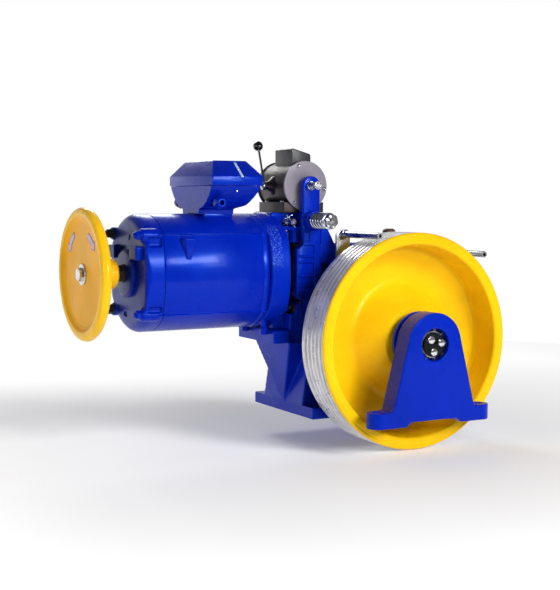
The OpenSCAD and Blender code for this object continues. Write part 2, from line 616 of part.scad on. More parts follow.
module adjuster() {
  cy(8, -168, -99, bx, gz, 48);
  difference() { hy(24, -141, -128, bx, gz); cy(8, -142, -127, bx, gz, 48); }
  difference() { hy(24, -172, -160, bx, gz); cy(8, -168, -159, bx, gz, 48); }
}
module brake_arm_front() color(blue) arm();
module brake_arm_rear() color(blue) mirror([0, 1, 0]) arm();
module brake_lining_front() color(dark) lining();
module brake_lining_rear() color(dark) mirror([0, 1, 0]) lining();
module brake_adjuster_front() color(steel) adjuster();
module brake_adjuster_rear() color(steel) mirror([0, 1, 0]) adjuster();
module plunger_front() color(steel) cy(12, -98.4, -18, bx, gz, 48);
module plunger_rear() color(steel) cy(12, 18, 98.4, bx, gz, 48);
module release_lever() color(steel) {
  cx(7, -368, bx - 10, 0, gz, 48);
  translate([0, 0, gz]) bar(bx - 10, bx + 10)
    polygon([[-16.5, 10], [-6, 12], [10, 8], [16.5, 0], [16.5, -10], [6, -12], [-10, -8], [-16.5, 0]]);
  translate([-358, 0, gz]) rotate([-18.6, 0, 0]) {
    difference() { cz(4, 0, 122, 0, 0, 32); translate([0, 0, 0]) rotate([0, 90, 0]) cylinder(r = 7, h = 40, center = true, $fn = 48); }
  }
  difference() { cx(13, -366, -350, 0, gz, 48); cx(7, -369, -340, 0, gz, 48); translate([-358, 0, gz]) rotate([-18.6, 0, 0]) cz(4, 0, 122, 0, 0, 32); }
}
module release_knob() color([0.05, 0.05, 0.05]) translate([-358, 0, gz]) rotate([-18.6, 0, 0]) difference() {
  translate([0, 0, 134]) sphere(16, $fn = 64);
  cz(4, 100, 122, 0, 0, 32);
}

gearbox_housing();
gearbox_rear_cover();
gearbox_cover_bolts();
slow_shaft_bearings();
slow_shaft_seal();
worm_bearings();
worm_end_cover();
breather();
sight_glass();
brake_housing();
housing_bolts();
arm_pivot_pins();
brake_tie_rod();
spring_nuts();
brake_springs();
magnet_base();
magnet_body();
magnet_coils();
magnet_covers();
magnet_connector_box();
magnet_screws();
motor_frame();
motor_end_shield();
motor_drive_flange();
stator_core();
stator_windings();
motor_bearings();
motor_bearing_cap();
terminal_box();
terminal_box_lid();
terminal_board();
cable_glands();
rope_guard_bracket();
rope_guard_rods();
outboard_pedestal();
outboard_bearing();
outboard_bearing_cover();
motor_shaft();
rotor();
coupling_half();
brake_drum();
worm_shaft();
handwheel();
handwheel_bolt();
slow_shaft();
worm_wheel_hub();
worm_wheel_rim();
sheave();
shaft_end_plate();
shaft_end_bolts();
brake_arm_front();
brake_lining_front();
brake_adjuster_front();
brake_arm_rear();
brake_lining_rear();
brake_adjuster_rear();
plunger_front();
plunger_rear();
release_lever();
release_knob();
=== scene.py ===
import bpy
import bmesh
import json
import math
from mathutils import Vector, Matrix
from mathutils.geometry import tessellate_polygon

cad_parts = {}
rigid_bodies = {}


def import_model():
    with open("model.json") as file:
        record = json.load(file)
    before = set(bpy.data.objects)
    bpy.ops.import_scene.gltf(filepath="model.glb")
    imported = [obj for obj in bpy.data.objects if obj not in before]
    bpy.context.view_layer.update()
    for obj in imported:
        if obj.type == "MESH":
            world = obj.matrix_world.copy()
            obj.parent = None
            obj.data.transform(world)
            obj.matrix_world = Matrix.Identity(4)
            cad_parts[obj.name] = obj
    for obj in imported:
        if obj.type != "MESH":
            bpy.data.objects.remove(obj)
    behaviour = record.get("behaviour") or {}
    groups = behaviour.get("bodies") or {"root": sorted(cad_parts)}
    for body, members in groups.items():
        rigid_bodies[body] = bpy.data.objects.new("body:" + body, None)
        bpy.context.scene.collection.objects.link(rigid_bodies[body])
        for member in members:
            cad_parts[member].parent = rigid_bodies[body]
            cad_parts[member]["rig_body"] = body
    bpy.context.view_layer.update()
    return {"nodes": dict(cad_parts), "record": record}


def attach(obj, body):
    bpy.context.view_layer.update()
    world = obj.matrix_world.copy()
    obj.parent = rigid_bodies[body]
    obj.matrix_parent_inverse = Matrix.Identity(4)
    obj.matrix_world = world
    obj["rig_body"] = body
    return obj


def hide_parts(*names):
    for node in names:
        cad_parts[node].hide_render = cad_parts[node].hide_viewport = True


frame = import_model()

scene = bpy.context.scene
nodes = frame["nodes"]
node_body = {n: o["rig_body"] for n, o in nodes.items()}
MM = 0.001
WZ, MZ, GZ, BX = 246.0, 463.0, 731.0, -258.0
RODZ, PIVZ, PIVY = MZ + 158, MZ - 118, 114.0


# ------------------------------------------------------------------ materials
def srgb(r, g, b):
    return tuple(((c / 255 + 0.055) / 1.055) ** 2.4 if c > 10 else c / 255 / 12.92 for c in (r, g, b)) + (1.0,)


class Nodes:
    """A small helper for wiring a material."""

    def __init__(self, name):
        self.m = bpy.data.materials.new(name)
        self.m.use_nodes = True
        self.t = self.m.node_tree
        self.b = self.t.nodes["Principled BSDF"]
        self.co = self.t.nodes.new("ShaderNodeTexCoord")

    def new(self, kind, **values):
        n = self.t.nodes.new(kind)
        for k, v in values.items():
            if k in n.inputs:
                n.inputs[k].default_value = v
            else:
                setattr(n, k, v)
        return n

    def link(self, a, b):
        self.t.links.new(a, b)

    def noise(self, scale, detail=3.0, rough=0.55, stretch=None):
        n = self.new("ShaderNodeTexNoise", Scale=scale, Detail=detail, Roughness=rough)
        if stretch:
            mp = self.new("ShaderNodeMapping")
            mp.inputs["Scale"].default_value = stretch
            self.link(self.co.outputs["Object"], mp.inputs["Vector"])
            self.link(mp.outputs["Vector"], n.inputs["Vector"])
        else:
            self.link(self.co.outputs["Object"], n.inputs["Vector"])
        return n.outputs["Fac"]

    def range(self, fac, lo, hi, a=0.3, b=0.7):
        n = self.new("ShaderNodeMapRange")
        n.inputs["From Min"].default_value = a
        n.inputs["From Max"].default_value = b
        n.inputs["To Min"].default_value = lo
        n.inputs["To Max"].default_value = hi
        self.link(fac, n.inputs["Value"])
        return n.outputs["Result"]

    def mix(self, fac, a, b, blend="MIX"):
        n = self.t.nodes.new("ShaderNodeMix")
        n.data_type = "RGBA"
        n.blend_type = blend
        for sock, v in ((n.inputs[0], fac), (n.inputs[6], a), (n.inputs[7], b)):
            if hasattr(v, "links") or hasattr(v, "is_linked"):
                self.link(v, sock)
            else:
                sock.default_value = v
        return n.outputs[2]

    def bump(self, fac, strength, distance, normal=None):
        n = self.new("ShaderNodeBump", Strength=strength, Distance=distance)
        self.link(fac, n.inputs["Height"])
        if normal is not None:
            self.link(normal, n.inputs["Normal"])
        return n.outputs["Normal"]

    def edges(self, lo, hi):
        """1 on outer edges and 0 on flats, from the mesh's own curvature."""
        g = self.t.nodes.new("ShaderNodeNewGeometry")
        return self.range(g.outputs["Pointiness"], 0.0, 1.0, lo, hi)


def tint(c, k):
    return tuple(min(1.0, v * k) for v in c[:3]) + (1.0,)


def paint(name, colour, rough=0.22, coat=0.5, peel=0.05, cast=0.0, dirt=0.25, wear_and_edge_highlight=0.35, spec=0.5):
    n = Nodes(name)
    tone = n.range(n.noise(5.0, 3.0), 0.0, 1.0)
    col = n.mix(tone, tint(colour, 0.86), tint(colour, 1.10))
    fine = n.range(n.noise(42.0, 4.0), 0.0, dirt, 0.52, 0.80)
    col = n.mix(fine, col, tint(colour, 0.62))
    # lighter colour along the outer edges, broken up by noise: part paint wear, part painted highlight on the edges
    if wear_and_edge_highlight:
        rim = n.edges(0.525, 0.60)
        chip_and_highlight_breakup = n.range(n.noise(95.0, 5.0, 0.7), 0.0, 1.0, 0.50, 0.62)
        m = n.new("ShaderNodeMath", operation="MULTIPLY")
        n.link(rim, m.inputs[0])
        n.link(chip_and_highlight_breakup, m.inputs[1])
        k = n.new("ShaderNodeMath", operation="MULTIPLY")
        n.link(m.outputs[0], k.inputs[0])
        k.inputs[1].default_value = wear_and_edge_highlight
        col = n.mix(k.outputs[0], col, tint(tuple(0.02 + 0.14 * max(colour[:3]) + 0.84 * c * 1.25 if c > 0.02 else 0.012 for c in colour[:3]), 1.0))
    n.link(col, n.b.inputs["Base Color"])
    n.link(n.range(n.noise(9.0, 4.0), rough * 0.75, rough * 1.5), n.b.inputs["Roughness"])
    nor = n.bump(n.noise(230.0, 2.0), peel, 0.0006)
    if cast:
        nor = n.bump(n.noise(160.0, 5.0, 0.65), cast, 0.0012, nor)
    nor = n.bump(n.noise(14.0, 2.0), 0.06, 0.002, nor)
    n.link(nor, n.b.inputs["Normal"])
    n.b.inputs["Metallic"].default_value = 0.0
    n.b.inputs["Specular IOR Level"].default_value = spec
    top = max(colour[:3])
    n.b.inputs["Specular Tint"].default_value = tuple(0.05 + 0.95 * math.sqrt(c / top) for c in colour[:3]) + (1.0,)
    n.b.inputs["Coat Weight"].default_value = coat * 0.14
    n.b.inputs["Coat Roughness"].default_value = 0.09
    return n.m


def metal(name, colour, rough=0.28, rings=None, ring_axis="Y", stain=0.25, bump=0.03, streak=None):
    n = Nodes(name)
    tone = n.range(n.noise(16.0, 4.0), 0.0, 1.0)
    col = n.mix(tone, tint(colour, 0.80), tint(colour, 1.06))
    spots = n.range(n.noise(70.0, 5.0, 0.65), 0.0, stain, 0.55, 0.75)
    col = n.mix(spots, col, tint(colour, 0.45))
    n.link(col, n.b.inputs["Base Color"])
    n.link(n.range(n.noise(28.0, 4.0), rough * 0.7, rough * 1.5), n.b.inputs["Roughness"])
    nor = n.bump(n.noise(320.0, 3.0, stretch=streak), bump, 0.0004)
    if rings:
        w = n.new("ShaderNodeTexWave", Scale=rings, Distortion=0.6, Detail=2.0)
        w.bands_direction = ring_axis
        n.link(n.co.outputs["Object"], w.inputs["Vector"])
        nor = n.bump(w.outputs["Fac"], 0.10, 0.0004, nor)
    n.link(nor, n.b.inputs["Normal"])
    n.b.inputs["Metallic"].default_value = 1.0
    return n.m


def plastic(name, colour, rough=0.4, grain=260.0, bump=0.05, coat=0.0):
    n = Nodes(name)
    tone = n.range(n.noise(20.0, 3.0), 0.0, 1.0)
    n.link(n.mix(tone, tint(colour, 0.82), tint(colour, 1.15)), n.b.inputs["Base Color"])
    n.link(n.range(n.noise(33.0, 4.0), rough * 0.8, rough * 1.3), n.b.inputs["Roughness"])
    n.link(n.bump(n.noise(grain, 4.0), bump, 0.0005), n.b.inputs["Normal"])
    n.b.inputs["Coat Weight"].default_value = coat
    return n.m


BLUE = srgb(0, 32, 168)
YELLOW = srgb(250, 196, 14)
blue = paint("blue_enamel", BLUE, rough=0.22, coat=1.0, peel=0.03, dirt=0.12, wear_and_edge_highlight=0.2)
blue_cast = paint("blue_enamel_cast", BLUE, rough=0.30, coat=0.45, peel=0.06, cast=0.30)
# painted shade: a darker copy of the blue for the rear cable gland
blue_gland_painted_shade = paint("blue_enamel_gland_painted_shade", srgb(10, 30, 130), rough=0.35, coat=0.2)
yellow = paint("yellow_enamel", YELLOW, rough=0.26, coat=0.5, peel=0.05, dirt=0.12, wear_and_edge_highlight=0.15)
# painted shade: a more orange, less glossy copy of the wheel yellow for the hand wheel's front face
yellow_wheel_face_shaded = paint("yellow_enamel_face_painted_shade", srgb(240, 172, 22), rough=0.34, coat=0.2, peel=0.05, dirt=0.10, wear_and_edge_highlight=0.1, spec=0.22)
yellow_wheel = paint("yellow_enamel_handwheel", srgb(246, 190, 24), rough=0.30, coat=0.4, peel=0.05, dirt=0.12, wear_and_edge_highlight=0.2)
black = paint("black_paint", srgb(30, 25, 25), rough=0.38, coat=0.2, cast=0.22, dirt=0.2, wear_and_edge_highlight=0.3)
black_box = plastic("black_moulding", srgb(40, 41, 46), rough=0.34, bump=0.12, coat=0.1)
grey = paint("grey_cover_paint", srgb(128, 122, 134), rough=0.34, coat=0.25, cast=0.08, dirt=0.2)
steel = metal("bright_steel", srgb(190, 192, 196), rough=0.26, streak=(1, 1, 1))
steel_dark = metal("dark_steel", srgb(92, 92, 98), rough=0.36)
groove_steel = metal("groove_steel", srgb(244, 243, 243), rough=0.32, stain=0.03, bump=0.0)
groove_steel.node_tree.nodes["Principled BSDF"].inputs["Metallic"].default_value = 0.6
zinc = metal("zinc_plate", srgb(214, 216, 222), rough=0.17, stain=0.15)
galv = metal("galvanised", srgb(190, 194, 196), rough=0.34, stain=0.3, bump=0.08)
iron = metal("machined_iron", srgb(120, 120, 124), rough=0.40, rings=700.0, ring_axis="X")
bronze = metal("bronze", srgb(206, 150, 84), rough=0.30)
copper = metal("copper_winding", srgb(170, 96, 56), rough=0.45, rings=300.0, ring_axis="X")
rubber = plastic("rubber", srgb(26, 26, 27), rough=0.7)
lining = plastic("friction_lining", srgb(74, 62, 54), rough=0.85, grain=420.0, bump=0.4)
knob_mat = plastic("knob_black", srgb(14, 14, 15), rough=0.10, coat=0.6, bump=0.01)
brown = plastic("brown_moulding", srgb(86, 62, 48), rough=0.42, bump=0.1)
decal_line = plastic("arrow_outline", srgb(98, 92, 190), rough=0.4)
decal_fill = plastic("arrow_fill", srgb(196, 180, 226), rough=0.4)

# <<extra materials>>
def stippled_with_painted_highlights(name, colour):
    """Cast blue enamel whose near left edge is stippled, as left by rough sand under the paint; the lighter spots on
    the stipple are painted highlights.
    """
    m = paint(name, colour, rough=0.28, coat=0.45, peel=0.08, cast=0.28)
    t = m.node_tree
    b = t.nodes["Principled BSDF"]
    co = [n for n in t.nodes if n.bl_idname == "ShaderNodeTexCoord"][0]
    base = b.inputs["Base Color"].links[0].from_socket
    nor = b.inputs["Normal"].links[0].from_socket
    sep = t.nodes.new("ShaderNodeSeparateXYZ")
    t.links.new(co.outputs["Object"], sep.inputs[0])

    def span(sock, a, bb, soft):
        up = t.nodes.new("ShaderNodeMapRange")
        up.inputs["From Min"].default_value, up.inputs["From Max"].default_value = a - soft, a
        dn = t.nodes.new("ShaderNodeMapRange")
        dn.inputs["From Min"].default_value, dn.inputs["From Max"].default_value = bb, bb + soft
        dn.inputs["To Min"].default_value, dn.inputs["To Max"].default_value = 1.0, 0.0
        for q in (up, dn):
            t.links.new(sock, q.inputs["Value"])
        k = t.nodes.new("ShaderNodeMath")
        k.operation = "MULTIPLY"
        t.links.new(up.outputs[0], k.inputs[0])
        t.links.new(dn.outputs[0], k.inputs[1])
        return k.outputs[0]

    def mul(a, bb):
        k = t.nodes.new("ShaderNodeMath")
        k.operation = "MULTIPLY"
        t.links.new(a, k.inputs[0])
        t.links.new(bb, k.inputs[1])
        return k.outputs[0]

    # painted highlight: lighter spots on the stipple of the ring's near left edge
    highlight_zone = mul(span(sep.outputs["X"], -0.412, -0.378, 0.004), span(sep.outputs["Z"], MZ * MM + 0.03, MZ * MM + 0.128, 0.02))
    vo = t.nodes.new("ShaderNodeTexNoise")
    vo.inputs["Scale"].default_value = 260.0
    vo.inputs["Detail"].default_value = 3.0
    t.links.new(co.outputs["Object"], vo.inputs["Vector"])
    highlight_dots = t.nodes.new("ShaderNodeMapRange")
    highlight_dots.inputs["From Min"].default_value, highlight_dots.inputs["From Max"].default_value = 0.54, 0.60
    t.links.new(vo.outputs["Fac"], highlight_dots.inputs["Value"])
    fac = mul(highlight_zone, highlight_dots.outputs[0])
    half = t.nodes.new("ShaderNodeMath")
    half.operation = "MULTIPLY"
    half.inputs[1].default_value = 0.45
    t.links.new(fac, half.inputs[0])
    mx = t.nodes.new("ShaderNodeMix")
    mx.data_type = "RGBA"
    t.links.new(half.outputs[0], mx.inputs[0])
    t.links.new(base, mx.inputs[6])
    mx.inputs[7].default_value = srgb(120, 160, 240)
    t.links.new(mx.outputs[2], b.inputs["Base Color"])
    bp = t.nodes.new("ShaderNodeBump")
    bp.inputs["Strength"].default_value = 0.5
    bp.inputs["Distance"].default_value = 0.001
    t.links.new(fac, bp.inputs["Height"])
    t.links.new(nor, bp.inputs["Normal"])
    t.links.new(bp.outputs[0], b.inputs["Normal"])
    return m


blue_stipple_painted_highlight = stippled_with_painted_highlights("blue_enamel_stippled_painted_highlight", BLUE)
blue_shield = paint("blue_enamel_shield", BLUE, rough=0.27, coat=0.6, peel=0.06, cast=0.12)
# near-black paint for the dark bolt heads and pin heads, and painted shade on the rear end-shield bolts
black_bolt_and_painted_shade = paint("black_bolt_and_painted_shade", srgb(26, 24, 26), rough=0.42, coat=0.1, dirt=0.2, wear_and_edge_highlight=0.3)
black_shaft = paint("black_shaft", srgb(24, 22, 24), rough=0.40, coat=0.1, dirt=0.3, wear_and_edge_highlight=0.2)
end_disc = metal("blackened_disc", srgb(40, 44, 44), rough=0.30, rings=500.0, ring_axis="X", stain=0.3)
chrome = metal("chrome", srgb(226, 228, 232), rough=0.12, stain=0.1, bump=0.015)
# painted highlight: light blue for the strips in the terminal lid's channels
lid_channel_painted_highlight = paint("lid_channel_highlight_paint", srgb(176, 202, 244), rough=0.35, coat=0.3, dirt=0.1, wear_and_edge_highlight=0.1)
spring_mat = metal("spring_wire", srgb(205, 208, 214), rough=0.22, stain=0.15)
spring_r = 26.0
# the arms' edges take the lighter edge colour at full strength, as painted highlight lines
blue_arm = paint("blue_enamel_arm", BLUE, rough=0.25, coat=0.9, peel=0.06, cast=0.16, wear_and_edge_highlight=1.0)
# <<end extra materials>>

SLOT_MAT = {"blue_paint": blue_cast, "yellow_paint": yellow, "black_paint": black, "grey_paint": grey, "bright_steel": steel,
            "dark_steel": steel_dark, "zinc": zinc, "cast_iron": iron, "bronze": bronze, "copper": copper, "rubber": rubber,
            "lining": lining, "black_plastic": knob_mat, "brown_plastic": brown, "blue_plastic": blue_gland_painted_shade}
node_slot = {s["node"]: s["material_slot"] for s in frame["record"]["subparts"]}
for n, o in nodes.items():
    o.data.materials.clear()
    o.data.materials.append(SLOT_MAT[node_slot[n]])


# ------------------------------------------------------------------ mesh code
def sharp(me, angle):
    bm = bmesh.new()
    bm.from_mesh(me)
    bmesh.ops.remove_doubles(bm, verts=bm.verts, dist=2e-6)
    bmesh.ops.dissolve_degenerate(bm, dist=1e-6, edges=bm.edges)
    bmesh.ops.recalc_face_normals(bm, faces=bm.faces)
    lim = math.radians(angle)
    for f in bm.faces:
        f.smooth = True
    for e in bm.edges:
        e.smooth = len(e.link_faces) == 2 and e.calc_face_angle(0) < lim
    bm.to_mesh(me)
    bm.free()


def build(name, verts, faces, mat, body, angle=32, face_mats=None, replaces=(), place=True):
    me = bpy.data.meshes.new(name)
    me.from_pydata([(v[0] * MM, v[1] * MM, v[2] * MM) for v in verts], [], faces)
    mats = mat if isinstance(mat, (list, tuple)) else [mat]
    for m in mats:
        me.materials.append(m)
    if face_mats:
        for p, k in zip(me.polygons, face_mats):
            p.material_index = k
    sharp(me, angle)
    o = bpy.data.objects.new(name, me)
    scene.collection.objects.link(o)
    if place:
        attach(o, body)
        if replaces:
            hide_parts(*replaces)
    return o


def rnd(pts, seg=4):
    """A polygon whose corners (x, y, r) are rounded to r."""
    out = []
    n = len(pts)
    for i, p in enumerate(pts):
        r = p[2] if len(p) > 2 else 0
        q = Vector(p[:2])
        a = Vector(pts[i - 1][:2]) - q
        b = Vector(pts[(i + 1) % n][:2]) - q
        if r <= 0 or a.length < 1e-6 or b.length < 1e-6:
            out.append(tuple(q))
            continue
        la, lb = a.length, b.length
        a.normalize()
        b.normalize()
        ang = math.acos(max(-1, min(1, a.dot(b))))
        if abs(math.pi - ang) < 0.03 or ang < 0.03:
            out.append(tuple(q))
            continue
        t = min(r / math.tan(ang / 2), la * 0.48, lb * 0.48)
        rr = t * math.tan(ang / 2)
        c = q + (a + b).normalized() * (rr / math.sin(ang / 2))
        p0, p1 = q + a * t - c, q + b * t - c
        a0, a1 = math.atan2(p0.y, p0.x), math.atan2(p1.y, p1.x)
        da = (a1 - a0 + math.pi) % (2 * math.pi) - math.pi
        k = max(2, round(seg * abs(da) / (math.pi / 2)) + 1)
        for j in range(k + 1):
            w = a0 + da * j / k
            out.append((c.x + rr * math.cos(w), c.y + rr * math.sin(w)))
    return out


def at(axis, u, v, d):
    return {"X": (d, u, v), "Y": (u, d, v), "Z": (u, v, d)}[axis]


def revolve(name, prof, axis, c, mat, body, seg=96, angle=32, prof_mats=None, replaces=(), a0=0.0, place=True):
    """prof is a closed loop of (radius, position along the axis); c the axis's two other coordinates."""
    verts, faces, fm = [], [], []
    n = len(prof)
    for k in range(seg):
        w = a0 + 2 * math.pi * k / seg
        for r, t in prof:
            verts.append(at(axis, c[0] + r * math.cos(w), c[1] + r * math.sin(w), t))
    for k in range(seg):
        for j in range(n):
            if prof[j][0] < 1e-6 and prof[(j + 1) % n][0] < 1e-6:
                continue
            a, b = k * n + j, k * n + (j + 1) % n
            a2, b2 = ((k + 1) % seg) * n + j, ((k + 1) % seg) * n + (j + 1) % n
            quad = [a, b, b2, a2]
            if prof[j][0] < 1e-6:
                quad = [a, b, b2]
            elif prof[(j + 1) % n][0] < 1e-6:
                quad = [a, b, a2]
            faces.append(quad)
            fm.append(prof_mats[j] if prof_mats else 0)
    # merge the axis points
    remap = {}
    for i, (r, t) in enumerate(prof):
        if r < 1e-6:
            for k in range(seg):
                remap[k * n + i] = i
    faces = [[remap.get(v, v) for v in f] for f in faces]
    return build(name, verts, faces, mat, body, angle, fm, replaces, place)


def area2(loop):
    return sum(loop[i - 1][0] * loop[i][1] - loop[i][0] * loop[i - 1][1] for i in range(len(loop)))


def clean(loop):
    out = []
    for p in loop:
        if not out or math.dist(p, out[-1]) > 1e-4:
            out.append(p)
    if math.dist(out[0], out[-1]) < 1e-4:
        out.pop()
    return out if area2(out) > 0 else out[::-1]


def inset(loop, d):
    n = len(loop)
    out = []
    for i in range(n):
        p0, p1, p2 = Vector(loop[i - 1]), Vector(loop[i]), Vector(loop[(i + 1) % n])
        e1, e2 = (p1 - p0).normalized(), (p2 - p1).normalized()
        n1, n2 = Vector((-e1.y, e1.x)), Vector((-e2.y, e2.x))
        m = n1 + n2
        if m.length < 1e-6:
            m = n1
        m.normalize()
        k = d / max(0.35, m.dot(n1))
        out.append((p1.x + m.x * k, p1.y + m.y * k))
    return out


def circle(r, cu=0.0, cv=0.0, n=32, a0=0.0):
    return [(cu + r * math.cos(a0 + 2 * math.pi * k / n), cv + r * math.sin(a0 + 2 * math.pi * k / n)) for k in range(n)]


def plate(name, outer, axis, d0, d1, mat, body, holes=(), bev=1.5, bseg=3, hbev=0.6, angle=32, replaces=(), place=True, ends=(1, 1)):
    """An outline extruded along an axis, its two rims rounded, with holes whose rims are broken."""
    outer = clean(outer)
    holes = [clean(h) for h in holes]
    lay = []
    if ends[0] and bev > 0:
        for k in range(bseg + 1):
            w = math.pi / 2 * k / bseg
            lay.append((bev * (1 - math.sin(w)), d0 + bev * (1 - math.cos(w))))
    else:
        lay.append((0, d0))
    if ends[1] and bev > 0:
        for k in range(bseg + 1):
            w = math.pi / 2 * (1 - k / bseg)
            lay.append((bev * (1 - math.sin(w)), d1 - bev * (1 - math.cos(w))))
    else:
        lay.append((0, d1))
    verts, faces = [], []

    def tube(loop, layers, flip):
        base = len(verts)
        n = len(loop)
        for ins, d in layers:
            for u, v in (inset(loop, ins) if ins else loop):
                verts.append(at(axis, u, v, d))
        for k in range(len(layers) - 1):
            for i in range(n):
                q = [base + k * n + i, base + k * n + (i + 1) % n, base + (k + 1) * n + (i + 1) % n, base + (k + 1) * n + i]
                faces.append(q[::-1] if flip else q)
        return base, base + (len(layers) - 1) * n, n

    first, last = [], []
    b0, b1, n = tube(outer, lay, False)
    first.append((b0, n))
    last.append((b1, n))
    for h in holes:
        hl = [(-hbev, d0), (0, d0 + hbev), (0, d1 - hbev), (-hbev, d1)] if hbev else [(0, d0), (0, d1)]
        c0, c1, m = tube(h, hl, True)
        first.append((c0, m))
        last.append((c1, m))
    for group in (first, last):
        loops = [[Vector(verts[s + i]) for i in range(k)] for s, k in group]
        index = [s + i for s, k in group for i in range(k)]
        for tri in tessellate_polygon(loops):
            faces.append([index[i] for i in tri])
    return build(name, verts, faces, mat, body, angle, None, replaces, place)


def box(name, x0, x1, y0, y1, z0, z1, mat, body, slot=None, r=3.0, bev=1.5, axis="Z", replaces=(), place=True):
    a = {"X": (y0, y1, z0, z1, x0, x1), "Y": (x0, x1, z0, z1, y0, y1), "Z": (x0, x1, y0, y1, z0, z1)}[axis]
    out = rnd([(a[0], a[2], r), (a[1], a[2], r), (a[1], a[3], r), (a[0], a[3], r)])
    return plate(name, out, axis, a[4], a[5], mat, body, bev=bev, replaces=replaces, place=place)


def rod(name, axis, c, d0, d1, r, mat, body, slot=None, ch=1.0, seg=40, bore=0.0, replaces=(), place=True):
    p = [(bore, d0), (r - ch, d0), (r, d0 + ch), (r, d1 - ch), (r - ch, d1), (bore, d1)]
    return revolve(name, p, axis, c, mat, body, seg, replaces=replaces, place=place)


def hexhead(name, axis, c, d0, d1, af, mat, body, slot=None, turn=0.0, washer=0.0, hole=0.0, place=True, sign=1):
    """A hexagon head or nut whose outer corners are turned off; d0 is the seat and d1 the free face."""
    s = 1 if d1 > d0 else -1
    h = abs(d1 - d0)
    R = af / math.sqrt(3)
    verts, faces = [], []
    seg = 48
    rings = []
    ri = af / 2 * 0.96
    for t, lim in ((0.0, 1e9), (h * 0.80, 1e9), (h * 0.93, R - af * 0.035), (h, ri)):
        rings.append((t, lim))
    for t, lim in rings:
        for k in range(seg):
            w = 2 * math.pi * k / seg
            m = (w % (math.pi / 3)) - math.pi / 6
            rr = min(af / 2 / math.cos(m), lim)
            verts.append(at(axis, c[0] + rr * math.cos(w + turn), c[1] + rr * math.sin(w + turn), d0 + s * t))
    for q in range(len(rings) - 1):
        for k in range(seg):
            faces.append([q * seg + k, q * seg + (k + 1) % seg, (q + 1) * seg + (k + 1) % seg, (q + 1) * seg + k])
    if hole:
        for t in (h, h - 1.2, 0.0):
            for k in range(seg):
                w = 2 * math.pi * k / seg
                verts.append(at(axis, c[0] + (hole + (0.8 if t == h else 0)) * math.cos(w + turn), c[1] + (hole + (0.8 if t == h else 0)) * math.sin(w + turn), d0 + s * t))
        base = len(rings) * seg
        top = (len(rings) - 1) * seg
        for k in range(seg):
            j = (k + 1) % seg
            faces.append([top + k, top + j, base + j, base + k])
            faces.append([base + k, base + j, base + seg + j, base + seg + k])
            faces.append([base + seg + k, base + seg + j, base + 2 * seg + j, base + 2 * seg + k])
            faces.append([base + 2 * seg + k, base + 2 * seg + j, j, k])
    else:
        faces.append(list(range(seg)))
        faces.append([(len(rings) - 1) * seg + k for k in range(seg)])
    return build(name, verts, faces, mat, body, 28, place=place)


def join(name, objs, body, replaces=()):
    """One object from several, each keeping its own material."""
    mats, verts, faces, fm = [], [], [], []
    data = []
    for o in objs:
        me = o.data
        base = len(verts)
        mw = o.matrix_world
        verts += [tuple(mw @ v.co) for v in me.vertices]
        idx = []
        for m in me.materials:
            if m not in mats:
                mats.append(m)
            idx.append(mats.index(m))
        shp = me.attributes.get("sharp_edge")
        for e in me.edges:
            if e.use_edge_sharp:
                data.append((base + e.vertices[0], base + e.vertices[1]))
        for p in me.polygons:
            faces.append([base + v for v in p.vertices])
            fm.append(idx[p.material_index])
    out = bpy.data.meshes.new(name)
    out.from_pydata(verts, [], faces)
    for m in mats:
        out.materials.append(m)
    out.polygons.foreach_set("material_index", fm)
    out.polygons.foreach_set("use_smooth", [True] * len(faces))
    key = {tuple(sorted(e.vertices)): e.index for e in out.edges}
    flags = [False] * len(out.edges)
    for a, b in data:
        k = key.get((min(a, b), max(a, b)))
        if k is not None:
            flags[k] = True
    out.edges.foreach_set("use_edge_sharp", flags)
    for o in objs:
        bpy.data.objects.remove(o)
    o = bpy.data.objects.new(name, out)
    scene.collection.objects.link(o)
    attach(o, body)
    if replaces:
        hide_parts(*replaces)
    return o


def evaluated(o):
    bpy.context.view_layer.update()
    dg = bpy.context.evaluated_depsgraph_get()
    me = bpy.data.meshes.new_from_object(o.evaluated_get(dg))
    o.modifiers.clear()
    old = o.data
    o.data = me
    return o


def cast(name, node_names, mat, body, slot=None, voxel=3.0, smooth=4, extra=(), cut=(), decimate=0.0, factor=0.5):
    """A casting: the CAD solid with extra shapes fused on, and every edge and corner rounded as a mould leaves it."""
    parts = []
    for n in node_names:
        src = nodes[n]
        o = bpy.data.objects.new("t_" + n, src.data.copy())
        scene.collection.objects.link(o)
        parts.append(o)
    parts += list(extra)
    bm = bmesh.new()
    for o in parts:
        bm.from_mesh(o.data)
    me = bpy.data.meshes.new(name)
    bm.to_mesh(me)
    bm.free()
    for o in parts:
        bpy.data.objects.remove(o)
    me.materials.clear()
    me.materials.append(mat)
    o = bpy.data.objects.new(name, me)
    scene.collection.objects.link(o)
    r = o.modifiers.new("r", "REMESH")
    r.mode = "VOXEL"
    r.voxel_size = voxel * MM
    r.adaptivity = 0.0
    if smooth:
        s = o.modifiers.new("s", "SMOOTH")
        s.factor = factor
        s.iterations = smooth
    evaluated(o)
    for k, cutter in enumerate(cut):
        b = o.modifiers.new("c%d" % k, "BOOLEAN")
        b.operation = "DIFFERENCE"
        b.solver = "EXACT"
        b.object = cutter
    if cut:
        evaluated(o)
        for c in cut:
            bpy.data.objects.remove(c)
    if decimate:
        d = o.modifiers.new("d", "DECIMATE")
        d.decimate_type = "DISSOLVE"
        d.angle_limit = math.radians(decimate)
        evaluated(o)
    o.data.materials.clear()
    o.data.materials.append(mat)
    o.data.polygons.foreach_set("use_smooth", [True] * len(o.data.polygons))
    o.data.polygons.foreach_set("material_index", [0] * len(o.data.polygons))
    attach(o, body)
    if node_names:
        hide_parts(*node_names)
    return o


# <<pieces>>
def arc(cu, cv, r, a0, a1, n):
    return [(cu + r * math.cos(math.radians(a0 + (a1 - a0) * k / n)), cv + r * math.sin(math.radians(a0 + (a1 - a0) * k / n))) for k in range(n + 1)]


